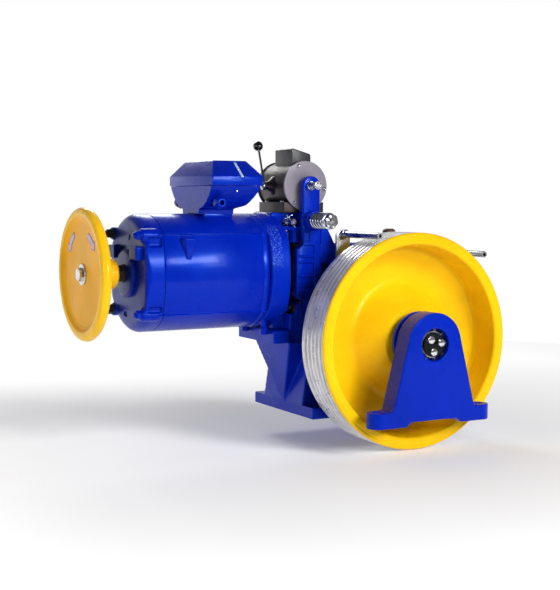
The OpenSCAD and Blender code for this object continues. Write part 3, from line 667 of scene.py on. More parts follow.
def solid(name, verts, faces, width, mat, body, slot=None, seg=3, angle=32, lim=15, replaces=(), place=True, cut=()):
    """A closed mesh of flat faces with its edges rounded, and shapes cut out of it."""
    me = bpy.data.meshes.new(name)
    me.from_pydata([(v[0] * MM, v[1] * MM, v[2] * MM) for v in verts], [], faces)
    me.materials.append(mat)
    bm = bmesh.new()
    bm.from_mesh(me)
    bmesh.ops.recalc_face_normals(bm, faces=bm.faces)
    edges = [e for e in bm.edges if len(e.link_faces) == 2 and e.calc_face_angle(0) > math.radians(lim)]
    bmesh.ops.bevel(bm, geom=edges, offset=width * MM, offset_type="OFFSET", segments=seg, profile=0.5, affect="EDGES", clamp_overlap=True)
    bm.to_mesh(me)
    bm.free()
    o = bpy.data.objects.new(name, me)
    scene.collection.objects.link(o)
    for k, c in enumerate(cut):
        b = o.modifiers.new("c%d" % k, "BOOLEAN")
        b.operation = "DIFFERENCE"
        b.solver = "EXACT"
        b.object = c
    if cut:
        evaluated(o)
        for c in cut:
            bpy.data.objects.remove(c)
        o.data.materials.clear()
        o.data.materials.append(mat)
        o.data.polygons.foreach_set("material_index", [0] * len(o.data.polygons))
    sharp(o.data, angle)
    if place:
        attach(o, body)
        if replaces:
            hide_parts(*replaces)
    return o


def block(name, x0, x1, y0, y1, z0, z1, width, mat, body, slot=None, top=None, **kw):
    """A box with rounded edges; top is a smaller rectangle (x0, x1, y0, y1) for its upper face."""
    t = top or (x0, x1, y0, y1)
    v = [(x0, y0, z0), (x1, y0, z0), (x1, y1, z0), (x0, y1, z0), (t[0], t[2], z1), (t[1], t[2], z1), (t[1], t[3], z1), (t[0], t[3], z1)]
    f = [[3, 2, 1, 0], [4, 5, 6, 7], [0, 1, 5, 4], [1, 2, 6, 5], [2, 3, 7, 6], [3, 0, 4, 7]]
    return solid(name, v, f, width, mat, body, slot, **kw)


def sweep(name, path, r, mat, body, seg=12, replaces=(), place=True):
    """A round wire along a path of points."""
    pts = [Vector(p) for p in path]
    n = len(pts)
    verts, faces = [], []
    up = None
    for i, p in enumerate(pts):
        t = (pts[min(i + 1, n - 1)] - pts[max(i - 1, 0)]).normalized()
        if up is None:
            up = t.orthogonal().normalized()
        up = (up - t * up.dot(t)).normalized()
        side = t.cross(up)
        for k in range(seg):
            w = 2 * math.pi * k / seg
            verts.append(tuple(p + up * (r * math.cos(w)) + side * (r * math.sin(w))))
    for i in range(n - 1):
        for k in range(seg):
            faces.append([i * seg + k, i * seg + (k + 1) % seg, (i + 1) * seg + (k + 1) % seg, (i + 1) * seg + k])
    faces.append(list(range(seg)))
    faces.append([(n - 1) * seg + k for k in range(seg)])
    return build(name, verts, faces, mat, body, 60, replaces=replaces, place=place)


def turned(o, matrix, body, replaces=()):
    o.data.transform(matrix)
    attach(o, body)
    if replaces:
        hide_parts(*replaces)
    return o


M = "machine"
N = dict(place=False)

# ---------------------------------------------------------------- gearbox
cast("gear_case", ["gearbox_housing"], blue_cast, M, "blue_paint", voxel=3.2, smooth=4)
cast("gear_case_rear_cover", ["gearbox_rear_cover"], blue_cast, M, "blue_paint", voxel=2.8, smooth=3)
revolve("worm_end_cap", rnd([(0, 206), (82, 206, 1), (82, 221, 4), (42, 221, 3), (40, 232, 4), (0, 232)]), "X", (0, MZ), blue, M, 96, replaces=["worm_end_cover"])
cov = []
for k in range(8):
    w = math.radians(22.5 + 45 * k)
    cov.append(hexhead("b1", "Y", (202 * math.cos(w), WZ + 202 * math.sin(w)), 148, 155, 16, blue, M, turn=0.3 * k, **N))
    cov.append(hexhead("b2", "X", (68 * math.cos(w), MZ + 68 * math.sin(w)), 221, 228, 16, zinc, M, turn=0.2 * k, **N))
for x, z in ((-132, MZ - 24), (-104, MZ - 24), (128, MZ - 44), (152, MZ - 44)):
    cov.append(hexhead("b3", "Y", (x, z), -134, -141, 16, zinc, M, turn=x * 0.1, **N))
    cov.append(rod("b4", "Y", (x, z), -135.6, -133.9, 9.4, zinc, M, ch=0.5, place=False))
join("case_bolts", cov, M, ["gearbox_cover_bolts"])
br = [revolve("a", rnd([(0, MZ + 90), (13, MZ + 90), (13, MZ + 106, 1.5), (0, MZ + 106)]), "Z", (121, 0), zinc, M, 48, place=False),
      revolve("b", rnd([(0, MZ + 105), (18, MZ + 105, 2), (21.5, MZ + 110, 2), (21.5, MZ + 122, 3), (14, MZ + 127, 2), (0, MZ + 127)]), "Z", (121, 0), brown, M, 64, place=False)]
for k in range(18):
    w = 2 * math.pi * k / 18
    br.append(rod("k", "Z", (121 + 20.9 * math.cos(w), 20.9 * math.sin(w)), MZ + 110.5, MZ + 121, 0.9, brown, M, ch=0.3, seg=8, place=False))
join("breather_cap", br, M, ["breather"])
for k, (x, y) in enumerate(((-240, -160), (240, -160), (-240, 160), (240, 160))):
    revolve("spot_face_%d" % k, [(11.4, 33.0), (23.6, 33.0), (23.6, 33.5), (11.4, 33.5)], "Z", (x, y), steel, M, 48)

# ---------------------------------------------------------------- brake housing, arms, springs
# the brake ring carries painted highlight spots on its stippled near edge
cast("brake_ring_and_frame", ["brake_housing"], blue_stipple_painted_highlight, M, "blue_paint", voxel=2.4, smooth=4)
hb = []
for k in range(4):
    w = math.radians(45 + 90 * k)
    c = (165 * math.cos(w), MZ + 165 * math.sin(w))
    hb.append(hexhead("h", "X", c, -349.8, -341, 19, blue, M, turn=0.4 * k, **N))
for y in (-76, 76):
    hb.append(hexhead("h", "Z", (-308, y), 328, 338, 24, black_bolt_and_painted_shade, M, **N))
for s in (-1, 1):
    for t in (-1, 1):
        c = (s * 115, MZ + t * 118)
        # painted shade: the rear corner bolts are coloured black for the shadow they sit in; the front ones keep the
        # blue paint
        bolt_mat_rear_painted_shade = black_bolt_and_painted_shade if s > 0 else blue
        e_ = -866 if s > 0 else -854
        hb.append(rod("w", "X", c, -833.5, -830.9, 17.5, bolt_mat_rear_painted_shade, M, ch=0.6, place=False))
        hb.append(hexhead("h", "X", c, -833.4, -848, 26, bolt_mat_rear_painted_shade, M, turn=0.3 + 0.5 * s + 0.2 * t, **N))
        hb.append(revolve("s", rnd([(0, e_), (6.4, e_, 0.5), (8, e_ + 2.5, 0.5), (8, -846), (0, -846)]), "X", c, bolt_mat_rear_painted_shade, M, 32, place=False))
join("frame_bolts", hb, M, ["housing_bolts"])
pins = []
for s in (-1, 1):
    pins.append(rod("p", "X", (s * PIVY, PIVZ), -314, -206, 9, steel, M, place=False))
    pins.append(revolve("q", rnd([(0, -317), (13, -317, 1.2), (13, -312, 0.6), (0, -312)]), "X", (s * PIVY, PIVZ), black_bolt_and_painted_shade, M, 48, place=False))
join("arm_pins", pins, M, ["arm_pivot_pins"])

# threaded tie rod
prof = [(0, -262), (6.4, -262), (7.9, -260.5)]
y = -260.5
while y < -130:
    prof += [(7.9, y + 0.4), (7.0, y + 1.0), (7.0, y + 1.1), (7.9, y + 1.7)]
    y += 2.0
prof += [(8, -128), (8, 128)]
y = 130.0
while y < 259:
    prof += [(7.9, y + 0.4), (7.0, y + 1.0), (7.0, y + 1.1), (7.9, y + 1.7)]
    y += 2.0
prof += [(7.9, 260.5), (6.4, 262), (0, 262)]
revolve("tie_rod", prof, "Y", (BX, RODZ), zinc, M, 32, angle=40, replaces=["brake_tie_rod"])
sn = []
for s in (-1, 1):
    seat = rnd([(8.2, s * 234), (24, s * 234, 1), (26, s * 236, 2), (26, s * 239, 2), (20, s * 240.5, 1), (8.2, s * 240.5)])
    sn.append(revolve("s", seat, "Y", (BX, RODZ), zinc, M, 56, place=False))
    sn.append(hexhead("n", "Y", (BX, RODZ), s * 240.4, s * 256, 41, chrome, M, turn=0.25 * s, hole=8.3, **N))
join("spring_seats", sn, M, ["spring_nuts"])
sp = []
for s in (-1, 1):
    path = []
    turns, L = 5.5, 71.2
    for i in range(int(turns * 36) + 1):
        t = i / (turns * 36)
        # the end turns are closed
        u = 0 if t < 0 else t
        e = 0.75 / turns
        k = u * turns
        if k < 0.75:
            d = k * 4.0
        elif k > turns - 0.75:
            d = L - (turns - k) * 4.0
        else:
            d = 3.0 + (L - 6.0) * (k - 0.75) / (turns - 1.5)
        w = 2 * math.pi * k
        path.append((BX + (spring_r - 3.9) * math.cos(w), s * (159.6 + 1.9 + d), RODZ + (spring_r - 3.9) * math.sin(w)))
    sp.append(sweep("w", path, 3.7, spring_mat, M, seg=12, place=False))
join("brake_coil_springs", sp, M, ["brake_springs"])


def arm(s, body, node):
    f = lambda y: s * y
    parts = []
    edge = [(BX - 28, MZ + 84, 6), (BX - 52, MZ + 68, 8), (BX - 52, PIVZ + 38, 8), (BX - 28, PIVZ + 22, 8)]
    outl = [q for q in arc(BX + 2, GZ, 30, 0, 180, 22)] + edge + [(BX - 28, PIVZ + 4, 5), (BX + 32, PIVZ + 4, 5)]
    a, b = sorted((f(-122.4), f(-100.2)))
    parts.append(plate("a", rnd(outl), "Y", a, b, blue_arm, body, holes=[circle(8.1, BX, GZ), circle(10.2, BX, RODZ), circle(9.1, BX, PIVZ)], bev=3, place=False))
    lx, rx, mx_ = BX - 46, BX + 13, BX - 4
    wins = [[(BX - 23, RODZ - 38, 6), (BX - 23, RODZ - 64, 4), (mx_, RODZ - 64, 4), (mx_, RODZ - 38, 6)],
            [(BX - 26, MZ + 80, 5), (lx, MZ + 66, 6), (lx, MZ + 50, 5), (rx, MZ + 50, 5), (rx, MZ + 80, 7)],
            [(lx, MZ + 42, 4), (lx, MZ + 32, 4), (rx, MZ + 32, 4), (rx, MZ + 42, 4)],
            [(lx, MZ + 24, 6), (lx, MZ - 12, 6), (rx, MZ - 12, 6), (rx, MZ + 24, 6)],
            [(lx, MZ - 20, 6), (lx, MZ - 55, 6), (rx, MZ - 55, 6), (rx, MZ - 20, 6)],
            [(lx, MZ - 66, 6), (lx, PIVZ + 42, 6), (BX - 26, PIVZ + 28, 6), (rx, PIVZ + 28, 6), (rx, MZ - 66, 6)]]
    rim_o = [(q[0], q[1]) for q in arc(BX + 2, GZ, 29.4, 0, 180, 22)] + [(BX - 27.4, MZ + 84, 6), (BX - 51.4, MZ + 68, 8), (BX - 51.4, PIVZ + 38, 8), (BX - 27.4, PIVZ + 22, 8), (BX - 27.4, PIVZ + 5, 5), (BX + 31.4, PIVZ + 5, 5)]
    a, b = sorted((f(-128), f(-121.8)))
    parts.append(plate("r", rnd(rim_o), "Y", a, b, blue_arm, body, holes=[circle(8.1, BX, GZ), circle(10.2, BX, RODZ)] + [rnd(w) for w in wins], bev=2.0, hbev=2.4, place=False))
    boss = rnd([(10.2, f(-124)), (36, f(-124), 3), (31, f(-129), 5), (31, f(-151), 3), (29, f(-155), 1.5), (10.2, f(-155))])
    parts.append(revolve("b", boss, "Y", (BX, RODZ), blue_arm, body, 64, place=False))
    parts.append(revolve("p", rnd([(9.1, BX - 28), (14, BX - 28, 2), (14, BX + 28, 2), (9.1, BX + 28)]), "X", (f(-PIVY), PIVZ), blue_arm, body, 48, place=False))
    join("arm_" + node, parts, body)
    # shoe: rides with the arm, between it and the lining
    y0, y1 = sorted((f(-101), f(-82.5)))
    cut = rod("t", "X", (0, MZ), -400, -200, 90, blue_arm, body, ch=0.1, seg=128, place=False)
    block("shoe_" + node, BX - 34, BX + 32, y0, y1, MZ - 43, MZ + 43, 2.5, blue_arm, body, "blue_paint", cut=[cut], replaces=["brake_arm_" + node])
    ad = [revolve("t", [(0, f(-172)), (6.8, f(-172)), (8, f(-170.6)), (8, f(-99)), (0, f(-99))], "Y", (BX, GZ), zinc, body, 32, place=False),
          rod("w", "Y", (BX, GZ), *sorted((f(-130.2), f(-127.9))), 14.5, zinc, body, ch=0.5, bore=8.1, place=False),
          hexhead("n", "Y", (BX, GZ), f(-130), f(-141), 24, zinc, body, turn=0.2, hole=8.1, **N),
          hexhead("m", "Y", (BX, GZ), f(-160), f(-171), 24, zinc, body, turn=0.5, hole=8.1, **N)]
    join("adjuster_" + node, ad, body, ["brake_adjuster_" + node])


arm(1, "arm_front", "front")
arm(-1, "arm_rear", "rear")

# lock bolt with its split pin, on the front of the top beam
lb = [rod("a", "Y", (-312, 617), -118, -60, 6.5, zinc, M, place=False),
      rod("b", "Y", (-312, 617), -66.5, -62, 14, zinc, M, place=False),
      hexhead("c", "Y", (-312, 617), -66.4, -78, 22, zinc, M, turn=0.2, hole=6.7, **N),
      hexhead("d", "Y", (-312, 617), -100, -113, 19, zinc, M, turn=0.7, hole=6.7, **N),
      sweep("e", [(-329, -96, 639), (-322, -96, 631), (-312, -96, 619), (-302, -96, 606), (-299, -96, 600)], 2.3, zinc, M, place=False),
      sweep("f", [(-329, -94, 628), (-322, -94.5, 629), (-315, -95, 636), (-306, -96, 640)], 2.1, zinc, M, place=False)]
join("lock_bolt", lb, M)

# ---------------------------------------------------------------- brake magnet
half = math.degrees(math.asin(52 / 74.05))
notch = arc(BX, GZ, 74.2, -half, -180 + half, 24)
mb = [plate("b", [(-332, 646.2), (-188, 646.2), (-188, 679)] + notch + [(-332, 679)], "Y", -84, 84, black, M, bev=1.6, place=False)]
for x in (-318, -204):
    for y in (-50, 50):
        mb.append(revolve("s", rnd([(0, 679), (8, 679, 0.4), (8, 684, 1.5), (0, 684)]), "Z", (x, y), zinc, M, 32, place=False))
join("magnet_foot", mb, M, ["magnet_base"])
revolve("magnet_case", rnd([(12.5, -86), (74, -86, 2), (74, 86, 2), (12.5, 86)]), "Y", (BX, GZ), black, M, 128, replaces=["magnet_body"])
revolve("release_boss", rnd([(7.4, -349.4), (12.5, -349.4, 2), (17, -340, 6), (30, -328, 4), (30, -322), (7.4, -322)]), "X", (0, GZ), black, M, 56)
for s, nm in ((-1, "front"), (1, "rear")):
    a, b = (s * 86, s * 92)
    cp = rnd([(12.8, a), (78, a, 0.8), (78, b, 1.6), (30, b), (28, b - s * 0.8), (26, b), (12.8, b, 0.6)])
    revolve("magnet_cover_" + nm, cp, "Y", (BX, GZ), grey, M, 128, replaces=["magnet_covers"] if s < 0 else ())
ms = []
for s in (-1, 1):
    for a in (112, 232, 352):
        c = (BX + 68 * math.cos(math.radians(a)), GZ + 68 * math.sin(math.radians(a)))
        hole = 0
        ms.append(revolve("s", rnd([(0, s * 92), (5.6, s * 92, 0.4), (5.4, s * 96, 1.6), (2.6, s * 97.2, 0.6), (2.2, s * 95.0, 0.3), (0, s * 95.0)]), "Y", c, zinc, M, 32, place=False))
join("magnet_cover_screws", ms, M, ["magnet_screws"])
cb = rnd([(-294, GZ + 40), (-294, GZ + 116, 5), (-288, GZ + 118, 5), (-228, GZ + 102, 4), (-224, GZ + 97, 4), (-224, GZ + 40)])
mc = [plate("a", cb, "Y", -65, 46, black_box, M, bev=3.2, bseg=4, place=False)]
for x, z in ((-285, GZ + 106), (-233, GZ + 92)):
    mc.append(revolve("s", rnd([(0, -65.2), (3.6, -65.2, 0.3), (3.2, -66.6, 0.8), (0, -66.6)][::1]), "Y", (x, z), zinc, M, 24, place=False))
join("magnet_plug_box", mc[:1], M, ["magnet_connector_box"])
for o in mc[1:]:
    bpy.data.objects.remove(o)

# ---------------------------------------------------------------- motor
a_ = math.degrees(math.asin(120 / 180))
b_ = math.degrees(math.asin(120 / 320))


def motor_outline():
    e = 150 - (320 - math.sqrt(320 ** 2 - 120 ** 2))
    p = [(134.16, MZ + 120, 2.6)] + [q for q in arc(0, MZ, 180, a_, 180 - a_, 44)[1:-1]] + [(-134.16, MZ + 120, 2.6), (-e, MZ + 120, 3.5)]
    p += [q for q in arc(170, MZ, 320, 180 - b_, 180 + b_, 26)[1:-1]] + [(-e, MZ - 120, 3.5), (-134.16, MZ - 120, 2.6)]
    p += [q for q in arc(0, MZ, 180, 180 + a_, 360 - a_, 44)[1:-1]] + [(134.16, MZ - 120, 2.6), (e, MZ - 120, 3.5)]
    p += [q for q in arc(-170, MZ, 320, -b_, b_, 26)[1:-1]] + [(e, MZ + 120, 3.5)]
    return rnd(p)


mo = motor_outline()
mf = [plate("b", mo, "X", -764.6, -437.2, blue, M, bev=1.2, bseg=2, place=False),
      block("p", -598, -500, -59, 59, MZ + 165, MZ + 182, 2.5, blue, M, place=False)]
tb = [(-705, -158.5, MZ + 109), (-671, -158.5, MZ + 109), (-681.5, -152, MZ + 46), (-694.5, -152, MZ + 46),
      (-710, -136, MZ + 112), (-666, -136, MZ + 112), (-677, -136, MZ + 42), (-699, -136, MZ + 42)]
mf.append(solid("t", tb, [[0, 1, 2, 3], [7, 6, 5, 4], [4, 5, 1, 0], [5, 6, 2, 1], [6, 7, 3, 2], [7, 4, 0, 3]], 4.0, blue, M, seg=4, place=False))
join("motor_barrel", mf, M, ["motor_frame"])
cast("motor_front_shield", ["motor_end_shield"], blue_shield, M, "blue_paint", voxel=2.2, smooth=5)
revolve("motor_bearing_lid", rnd([(26.5, -840), (66, -840, 2), (73, -836, 4), (73, -825), (26.5, -825)]), "X", (0, MZ), blue_shield, M, 96, replaces=["motor_bearing_cap"])
fl = [plate("f", mo, "X", -437.0, -415.2, blue, M, holes=[circle(46, 0, MZ)], bev=0.8, bseg=2, place=False),
      revolve("s", rnd([(46, -454.8), (60, -454.8, 1), (60, -445, 1), (131, -445, 1), (131, -436.4), (46, -436.4)]), "X", (0, MZ), blue, M, 96, place=False)]
join("motor_rear_flange", fl, M, ["motor_drive_flange"])

# terminal box
cast("terminal_housing", ["terminal_box"], blue, M, "blue_paint", voxel=2.0, smooth=4)
tx0, tx1 = -616.0, -447.0
lid_v = [(tx0 - 1, -160, MZ + 265.6), (tx1, -160, MZ + 265.6), (tx1, 160, MZ + 265.6), (tx0 - 1, 160, MZ + 265.6),
         (tx0 - 1, -160, MZ + 295), (tx1, -160, MZ + 295), (tx1, 160, MZ + 295), (tx0 - 1, 160, MZ + 295),
         (tx0 + 28, -102, MZ + 342), (tx1 - 28, -102, MZ + 342), (tx1 - 28, 102, MZ + 342), (tx0 + 28, 102, MZ + 342)]
lid_f = [[3, 2, 1, 0], [8, 9, 10, 11], [0, 1, 5, 4], [1, 2, 6, 5], [2, 3, 7, 6], [3, 0, 4, 7], [4, 5, 9, 8], [5, 6, 10, 9], [6, 7, 11, 10], [7, 4, 8, 11]]
cuts = []
for s in (-1, 1):
    ch_ = [(s * 163, MZ + 289), (s * 157, MZ + 289), (s * 106, MZ + 331), (s * 106, MZ + 350), (s * 163, MZ + 350)]
    cuts.append(plate("t", ch_ if s > 0 else ch_[::-1], "X", -522.5, -509.5, blue, M, bev=0.0, place=False))
solid("terminal_lid", lid_v, lid_f, 3.0, blue, M, "blue_paint", seg=4, cut=cuts, replaces=["terminal_box_lid"])
ls = []
for s in (-1, 1):
    # light-blue strips laid in the lid's side channels stand in for the lit channel floors: painted highlight
    highlight_strip = [(s * 159.6, MZ + 291), (s * 156.5, MZ + 291), (s * 107.5, MZ + 331.5), (s * 107.5, MZ + 335), (s * 153, MZ + 298), (s * 159.6, MZ + 294)]
    ls.append(plate("c", highlight_strip if s > 0 else highlight_strip[::-1], "X", -520.5, -511.5, lid_channel_painted_highlight, M, bev=0.5, place=False))
    ls.append(revolve("s", rnd([(0, MZ + 308.6), (5.4, MZ + 308.6), (5.4, MZ + 316, 1.2), (2.4, MZ + 316.4, 0.4), (2.2, MZ + 314.5), (0, MZ + 314.5)]), "Z", (-516, s * 128), zinc, M, 32, place=False))
    ls.append(revolve("t", rnd([(0, s * 140), (3.6, s * 140), (3.4, s * 149.5, 1.0), (0, s * 150.0)]), "Y", (-529, MZ + 249), zinc, M, 24, place=False))
join("lid_screws_and_highlight_strips", ls, M)
gl = []
# the rear gland gets the darker blue copy as painted shade
for s, mat_ in ((-1, blue), (1, blue_gland_painted_shade)):
    c = (-586, MZ + 214)
    gl.append(rod("a", "Y", c, *sorted((s * 113, s * 138)), 13.5, mat_, M, bore=7, place=False))
    gl.append(hexhead("b", "Y", c, s * 137, s * 149, 34.6, mat_, M, turn=0.5, hole=7.2, **N))
    gl.append(revolve("c", rnd([(7.2, s * 148), (16.5, s * 148), (17, s * 153, 3), (14, s * 163, 4), (7.2, s * 163, 1.5)]), "Y", c, mat_, M, 48, place=False))
join("cable_entry_glands", gl, M, ["cable_glands"])

# ---------------------------------------------------------------- rope guard
rg = []
o1 = rnd([(-150, MZ - 40, 4), (-168, MZ + 40, 14), (-168, WZ + 330, 6), (-156, WZ + 345, 8), (-126, WZ + 345, 8), (-116, WZ + 332, 6), (-120, MZ + 40, 14), (-80, MZ - 40, 4)])
o2 = rnd([(110, MZ - 60, 4), (110, MZ - 10, 6), (228, WZ + 282, 8), (246, WZ + 292, 8), (268, WZ + 292, 6), (276, WZ + 276, 6), (276, WZ + 256, 6), (262, WZ + 246, 6), (160, MZ - 60, 4)])
rod_a, rod_b = (-142, WZ + 331), (256, WZ + 268)
rg.append(plate("a", o1, "Y", -134, -126.2, galv, M, holes=[circle(8.05, *rod_a)], bev=1.0, bseg=2, place=False))
rg.append(plate("b", o2, "Y", -134, -126.2, galv, M, holes=[circle(8.05, *rod_b)], bev=1.0, bseg=2, place=False))
join("guard_plates", rg, M, ["rope_guard_bracket"])
rr_ = []
for c in (rod_a, rod_b):
    rr_.append(revolve("a", rnd([(0, -319), (5.2, -319), (5.2, -347.2, 0.5), (6.0, -348, 0.5), (9.2, -348, 0.8), (10, -346, 0.8), (10, -134.2), (8, -134), (8, -112.8), (0, -112.8)]), "Y", c, steel, M, 40, place=False))
    rr_.append(rod("b", "Y", c, -138, -134.1, 15, zinc, M, bore=9.8, place=False))
    rr_.append(hexhead("c", "Y", c, -138, -149, 28, zinc, M, turn=0.3, hole=9.9, **N))
    rr_.append(hexhead("d", "Y", c, -126, -114, 24, zinc, M, turn=0.3, hole=8.1, **N))
join("guard_rods", rr_, M, ["rope_guard_rods"])

# ---------------------------------------------------------------- outboard bearing
PY = -443.0
cast("outboard_foot", ["outboard_pedestal"], blue_cast, M, "blue_paint", voxel=2.4, smooth=4)
revolve("outboard_cap", rnd([(34.2, PY + 41), (59.9, PY + 41), (59.9, PY + 67.2), (84, PY + 67.2, 1), (84, PY + 82, 3), (96, PY + 84, 3), (96, PY + 97, 3), (44, PY + 97, 2), (40, PY + 94, 2), (34.2, PY + 94)]),
        "Y", (0, WZ), blue, M, 128, replaces=["outboard_bearing_cover"])

# ---------------------------------------------------------------- fast shaft
F = "fast_shaft"
revolve("fast_shaft_bar", rnd([(0, -966), (24, -966, 1), (25, -964), (25, -846), (27.5, -844), (27.5, -790), (30, -789), (30, -352), (22, -351), (22, -334), (0, -334)]), "X", (0, MZ), black_shaft, F, 64, replaces=["motor_shaft"])
hw = rnd([(17, -968), (60, -968), (154, -968, 10), (164, -972, 8), (172, -978, 8), (184, -980, 9), (196, -976, 9), (200, -966, 8), (200, -960, 8), (194, -950, 7), (178, -947, 4), (60, -947, 10), (50, -943, 4),
          (46, -935, 6), (46, -873, 2.5), (41, -868, 2), (25.1, -868), (25.1, -966), (17, -966)], 6)
# the front face of the wheel gets the shaded copy of the yellow (painted shade)
hw_m = []
for j in range(len(hw)):
    a, b = hw[j], hw[(j + 1) % len(hw)]
    hw_m.append(1 if max(a[0], b[0]) < 181 and max(a[1], b[1]) < -966 else 0)
revolve("hand_wheel", hw, "X", (0, MZ), [yellow_wheel, yellow_wheel_face_shaded], F, 160, angle=40, prof_mats=hw_m, replaces=["handwheel"])
hbt = [revolve("w", rnd([(0, -968), (32, -968, 0.5), (32, -973, 1.6), (0, -973)]), "X", (0, MZ), zinc, F, 56, place=False),
       hexhead("h", "X", (0, MZ), -972.9, -985, 36, chrome, F, turn=0.35, **N),
       rod("r", "X", (0, MZ), -975, -966.1, 10.9, zinc, F, place=False)]
join("hand_wheel_bolt", hbt, F, ["handwheel_bolt"])


def arrow(rm, mid, span, w, grow, turn):
    """A bent direction arrow round the wheel's centre."""
    out, inn = [], []
    a0, a1 = mid - span / 2, mid + span / 2
    head = 8.0 * turn
    e = math.degrees(grow / rm)
    n = 8
    s0 = a0 - e if turn > 0 else a0
    lo, hi = (a0 - e, a1 - abs(head)) if turn > 0 else (a0 + abs(head), a1 + e)
    band_o = [(rm + w / 2 + grow, lo + (hi - lo) * k / n) for k in range(n + 1)]
    band_i = [(rm - w / 2 - grow, hi - (hi - lo) * k / n) for k in range(n + 1)]
    if turn > 0:
        tip = [(rm + w + 1.6 * grow, hi - e * 0.6), (rm, a1 + 1.7 * e), (rm - w - 1.6 * grow, hi - e * 0.6)]
        pol = band_o + tip + band_i
    else:
        tip = [(rm - w - 1.6 * grow, lo + e * 0.6), (rm, a0 - 1.7 * e), (rm + w + 1.6 * grow, lo + e * 0.6)]
        pol = band_o + band_i + tip
    return [(r * math.cos(math.radians(a)), MZ + r * math.sin(math.radians(a))) for r, a in pol]


for k, (yy, zz, turn) in enumerate(((100, 94, -1), (-78, 100, 1))):
    mid = math.degrees(math.atan2(zz, yy))
    rm = min(math.hypot(yy, zz), 136)
    plate("arrow_edge_%d" % k, arrow(rm, mid, 30, 13, 2.6, turn), "X", -968.7, -967.8, decal_line, F, bev=0.0, hbev=0.0)
    plate("arrow_%d" % k, arrow(rm, mid, 30, 13, 0.0, turn), "X", -969.1, -967.8, decal_fill, F, bev=0.0, hbev=0.0)
revolve("coupling_hub", rnd([(30, -400), (48, -400, 2), (48, -356, 3), (84, -356, 2), (84, -336.2, 2), (30, -336.2)]), "X", (0, MZ), iron, F, 96, replaces=["coupling_half"])
dr = [revolve("d", rnd([(28, -330), (79.9, -330, 1.5), (79.9, -228, 1.5), (62, -228, 1.5), (62, -270, 4), (28, -270)]), "X", (0, MZ), iron, F, 128, place=False)]
for k in range(6):
    w = math.radians(60 * k)
    dr.append(rod("p", "X", (62 * math.cos(w), MZ + 62 * math.sin(w)), -359, -330.5, 8.9, rubber, F, seg=32, place=False))
join("drum", dr, F, ["brake_drum"])

# ---------------------------------------------------------------- slow shaft
S = "slow_shaft_set"
pr = [(42.5, -196), (84, -196, 2), (92, -203, 5), (105, -224, 14), (286, -222, 10), (298, -215.4, 3), (339, -215, 0.8), (340, -216, 0.6)]
for i in range(5):
    y = -(239 + 22 * i)
    pr += [(340, y + 7.5), (339.2, y + 6.9)] + [(335.7 + 6.9 * math.cos(math.radians(a)), y + 6.9 * math.sin(math.radians(a))) for a in range(90, 271, 15)] + [(339.2, y - 6.9), (340, y - 7.5)]
pr += [(340, -336.6), (339.7, -337.0), (340, -337.4), (340, -343, 3.4), (335, -348, 3.4), (331.5, -348, 0.6), (329.5, -346.6, 0.6), (327, -346.6, 0.6), (325.5, -347.6, 0.6), (307, -347.6, 4),
       (302, -343, 5), (293, -266, 13), (284, -254.5, 10), (194, -250, 26), (176, -256, 24), (113, -319, 9), (105, -326, 4), (42.5, -326)]
pr = rnd(pr, 5)
fm_s = []
for j in range(len(pr)):
    a, b = pr[j], pr[(j + 1) % len(pr)]
    mid_t = (a[1] + b[1]) / 2
    fm_s.append(1 if min(a[0], b[0]) > 328 and -337.1 < mid_t < -215.0 else 0)
revolve("traction_sheave", pr, "Y", (0, WZ), [yellow, groove_steel], S, 216, angle=35, prof_mats=fm_s, replaces=["sheave"])
revolve("slow_shaft_bar", rnd([(0, PY + 15), (31.5, PY + 15, 1), (32.5, PY + 17), (32.5, -332), (42.5, -331.5, 1), (42.5, -196), (45, -195.5), (45, -100), (48, -99.6), (48, 104), (40, 104.4), (40, 140), (0, 140)]),
        "Y", (0, WZ), steel, S, 64, replaces=["slow_shaft"])
revolve("shaft_end_disc", rnd([(0, PY + 7), (37, PY + 7, 1.6), (38, PY + 9, 1), (38, PY + 15), (0, PY + 15)]), "Y", (0, WZ), end_disc, S, 64, replaces=["shaft_end_plate"])
eb = []
for k, a in enumerate((15, 135, 255)):
    c = (22.5 * math.cos(math.radians(a)), WZ + 22.5 * math.sin(math.radians(a)))
    eb.append(rod("w", "Y", c, PY + 5.2, PY + 7.1, 11.2, chrome, S, ch=0.5, place=False))
    eb.append(hexhead("h", "Y", c, PY + 5.3, PY - 2, 22, chrome, S, turn=0.3 + 0.5 * k, **N))
join("shaft_end_screws", eb, S, ["shaft_end_bolts"])

# ---------------------------------------------------------------- release lever
R = "release"
tilt = Matrix.Translation((0, 0, GZ * MM)) @ Matrix.Rotation(math.radians(-18.6), 4, "X")
rl = [revolve("a", rnd([(0, -368), (5.6, -368, 0.6), (7, -366.4), (7, BX + 8), (0, BX + 8)]), "X", (0, GZ), zinc, R, 40, place=False),
      revolve("b", rnd([(7, -366), (13, -366, 1.6), (13, -350, 1.6), (7, -350)]), "X", (0, GZ), chrome, R, 48, place=False)]
stem = revolve("c", rnd([(0, 4), (4, 4), (4, 116), (5.4, 118, 0.6), (5.4, 123, 0.6), (0, 123)]), "Z", (-358, 0), chrome, R, 28, place=False)
stem.data.transform(tilt)
rl.append(stem)
cam_ = plate("d", rnd([(-16.5, 10, 3), (-6, 12, 3), (10, 8, 3), (16.5, 0, 3), (16.5, -10, 3), (6, -12, 3), (-10, -8, 3), (-16.5, 0, 3)]), "X", BX - 10, BX + 10, zinc, R, bev=0.8, place=False)
cam_.data.transform(Matrix.Translation((0, 0, GZ * MM)))
rl.append(cam_)
join("release_lever_bar", rl, R, ["release_lever"])
kn = []
for k in range(33):
    w = math.radians(-70 + 160 * k / 32)
    kn.append((16 * math.cos(w), 134 + 16 * math.sin(w)))
kn = [(0, kn[0][1])] + kn[:-1] + [(0, 150)]
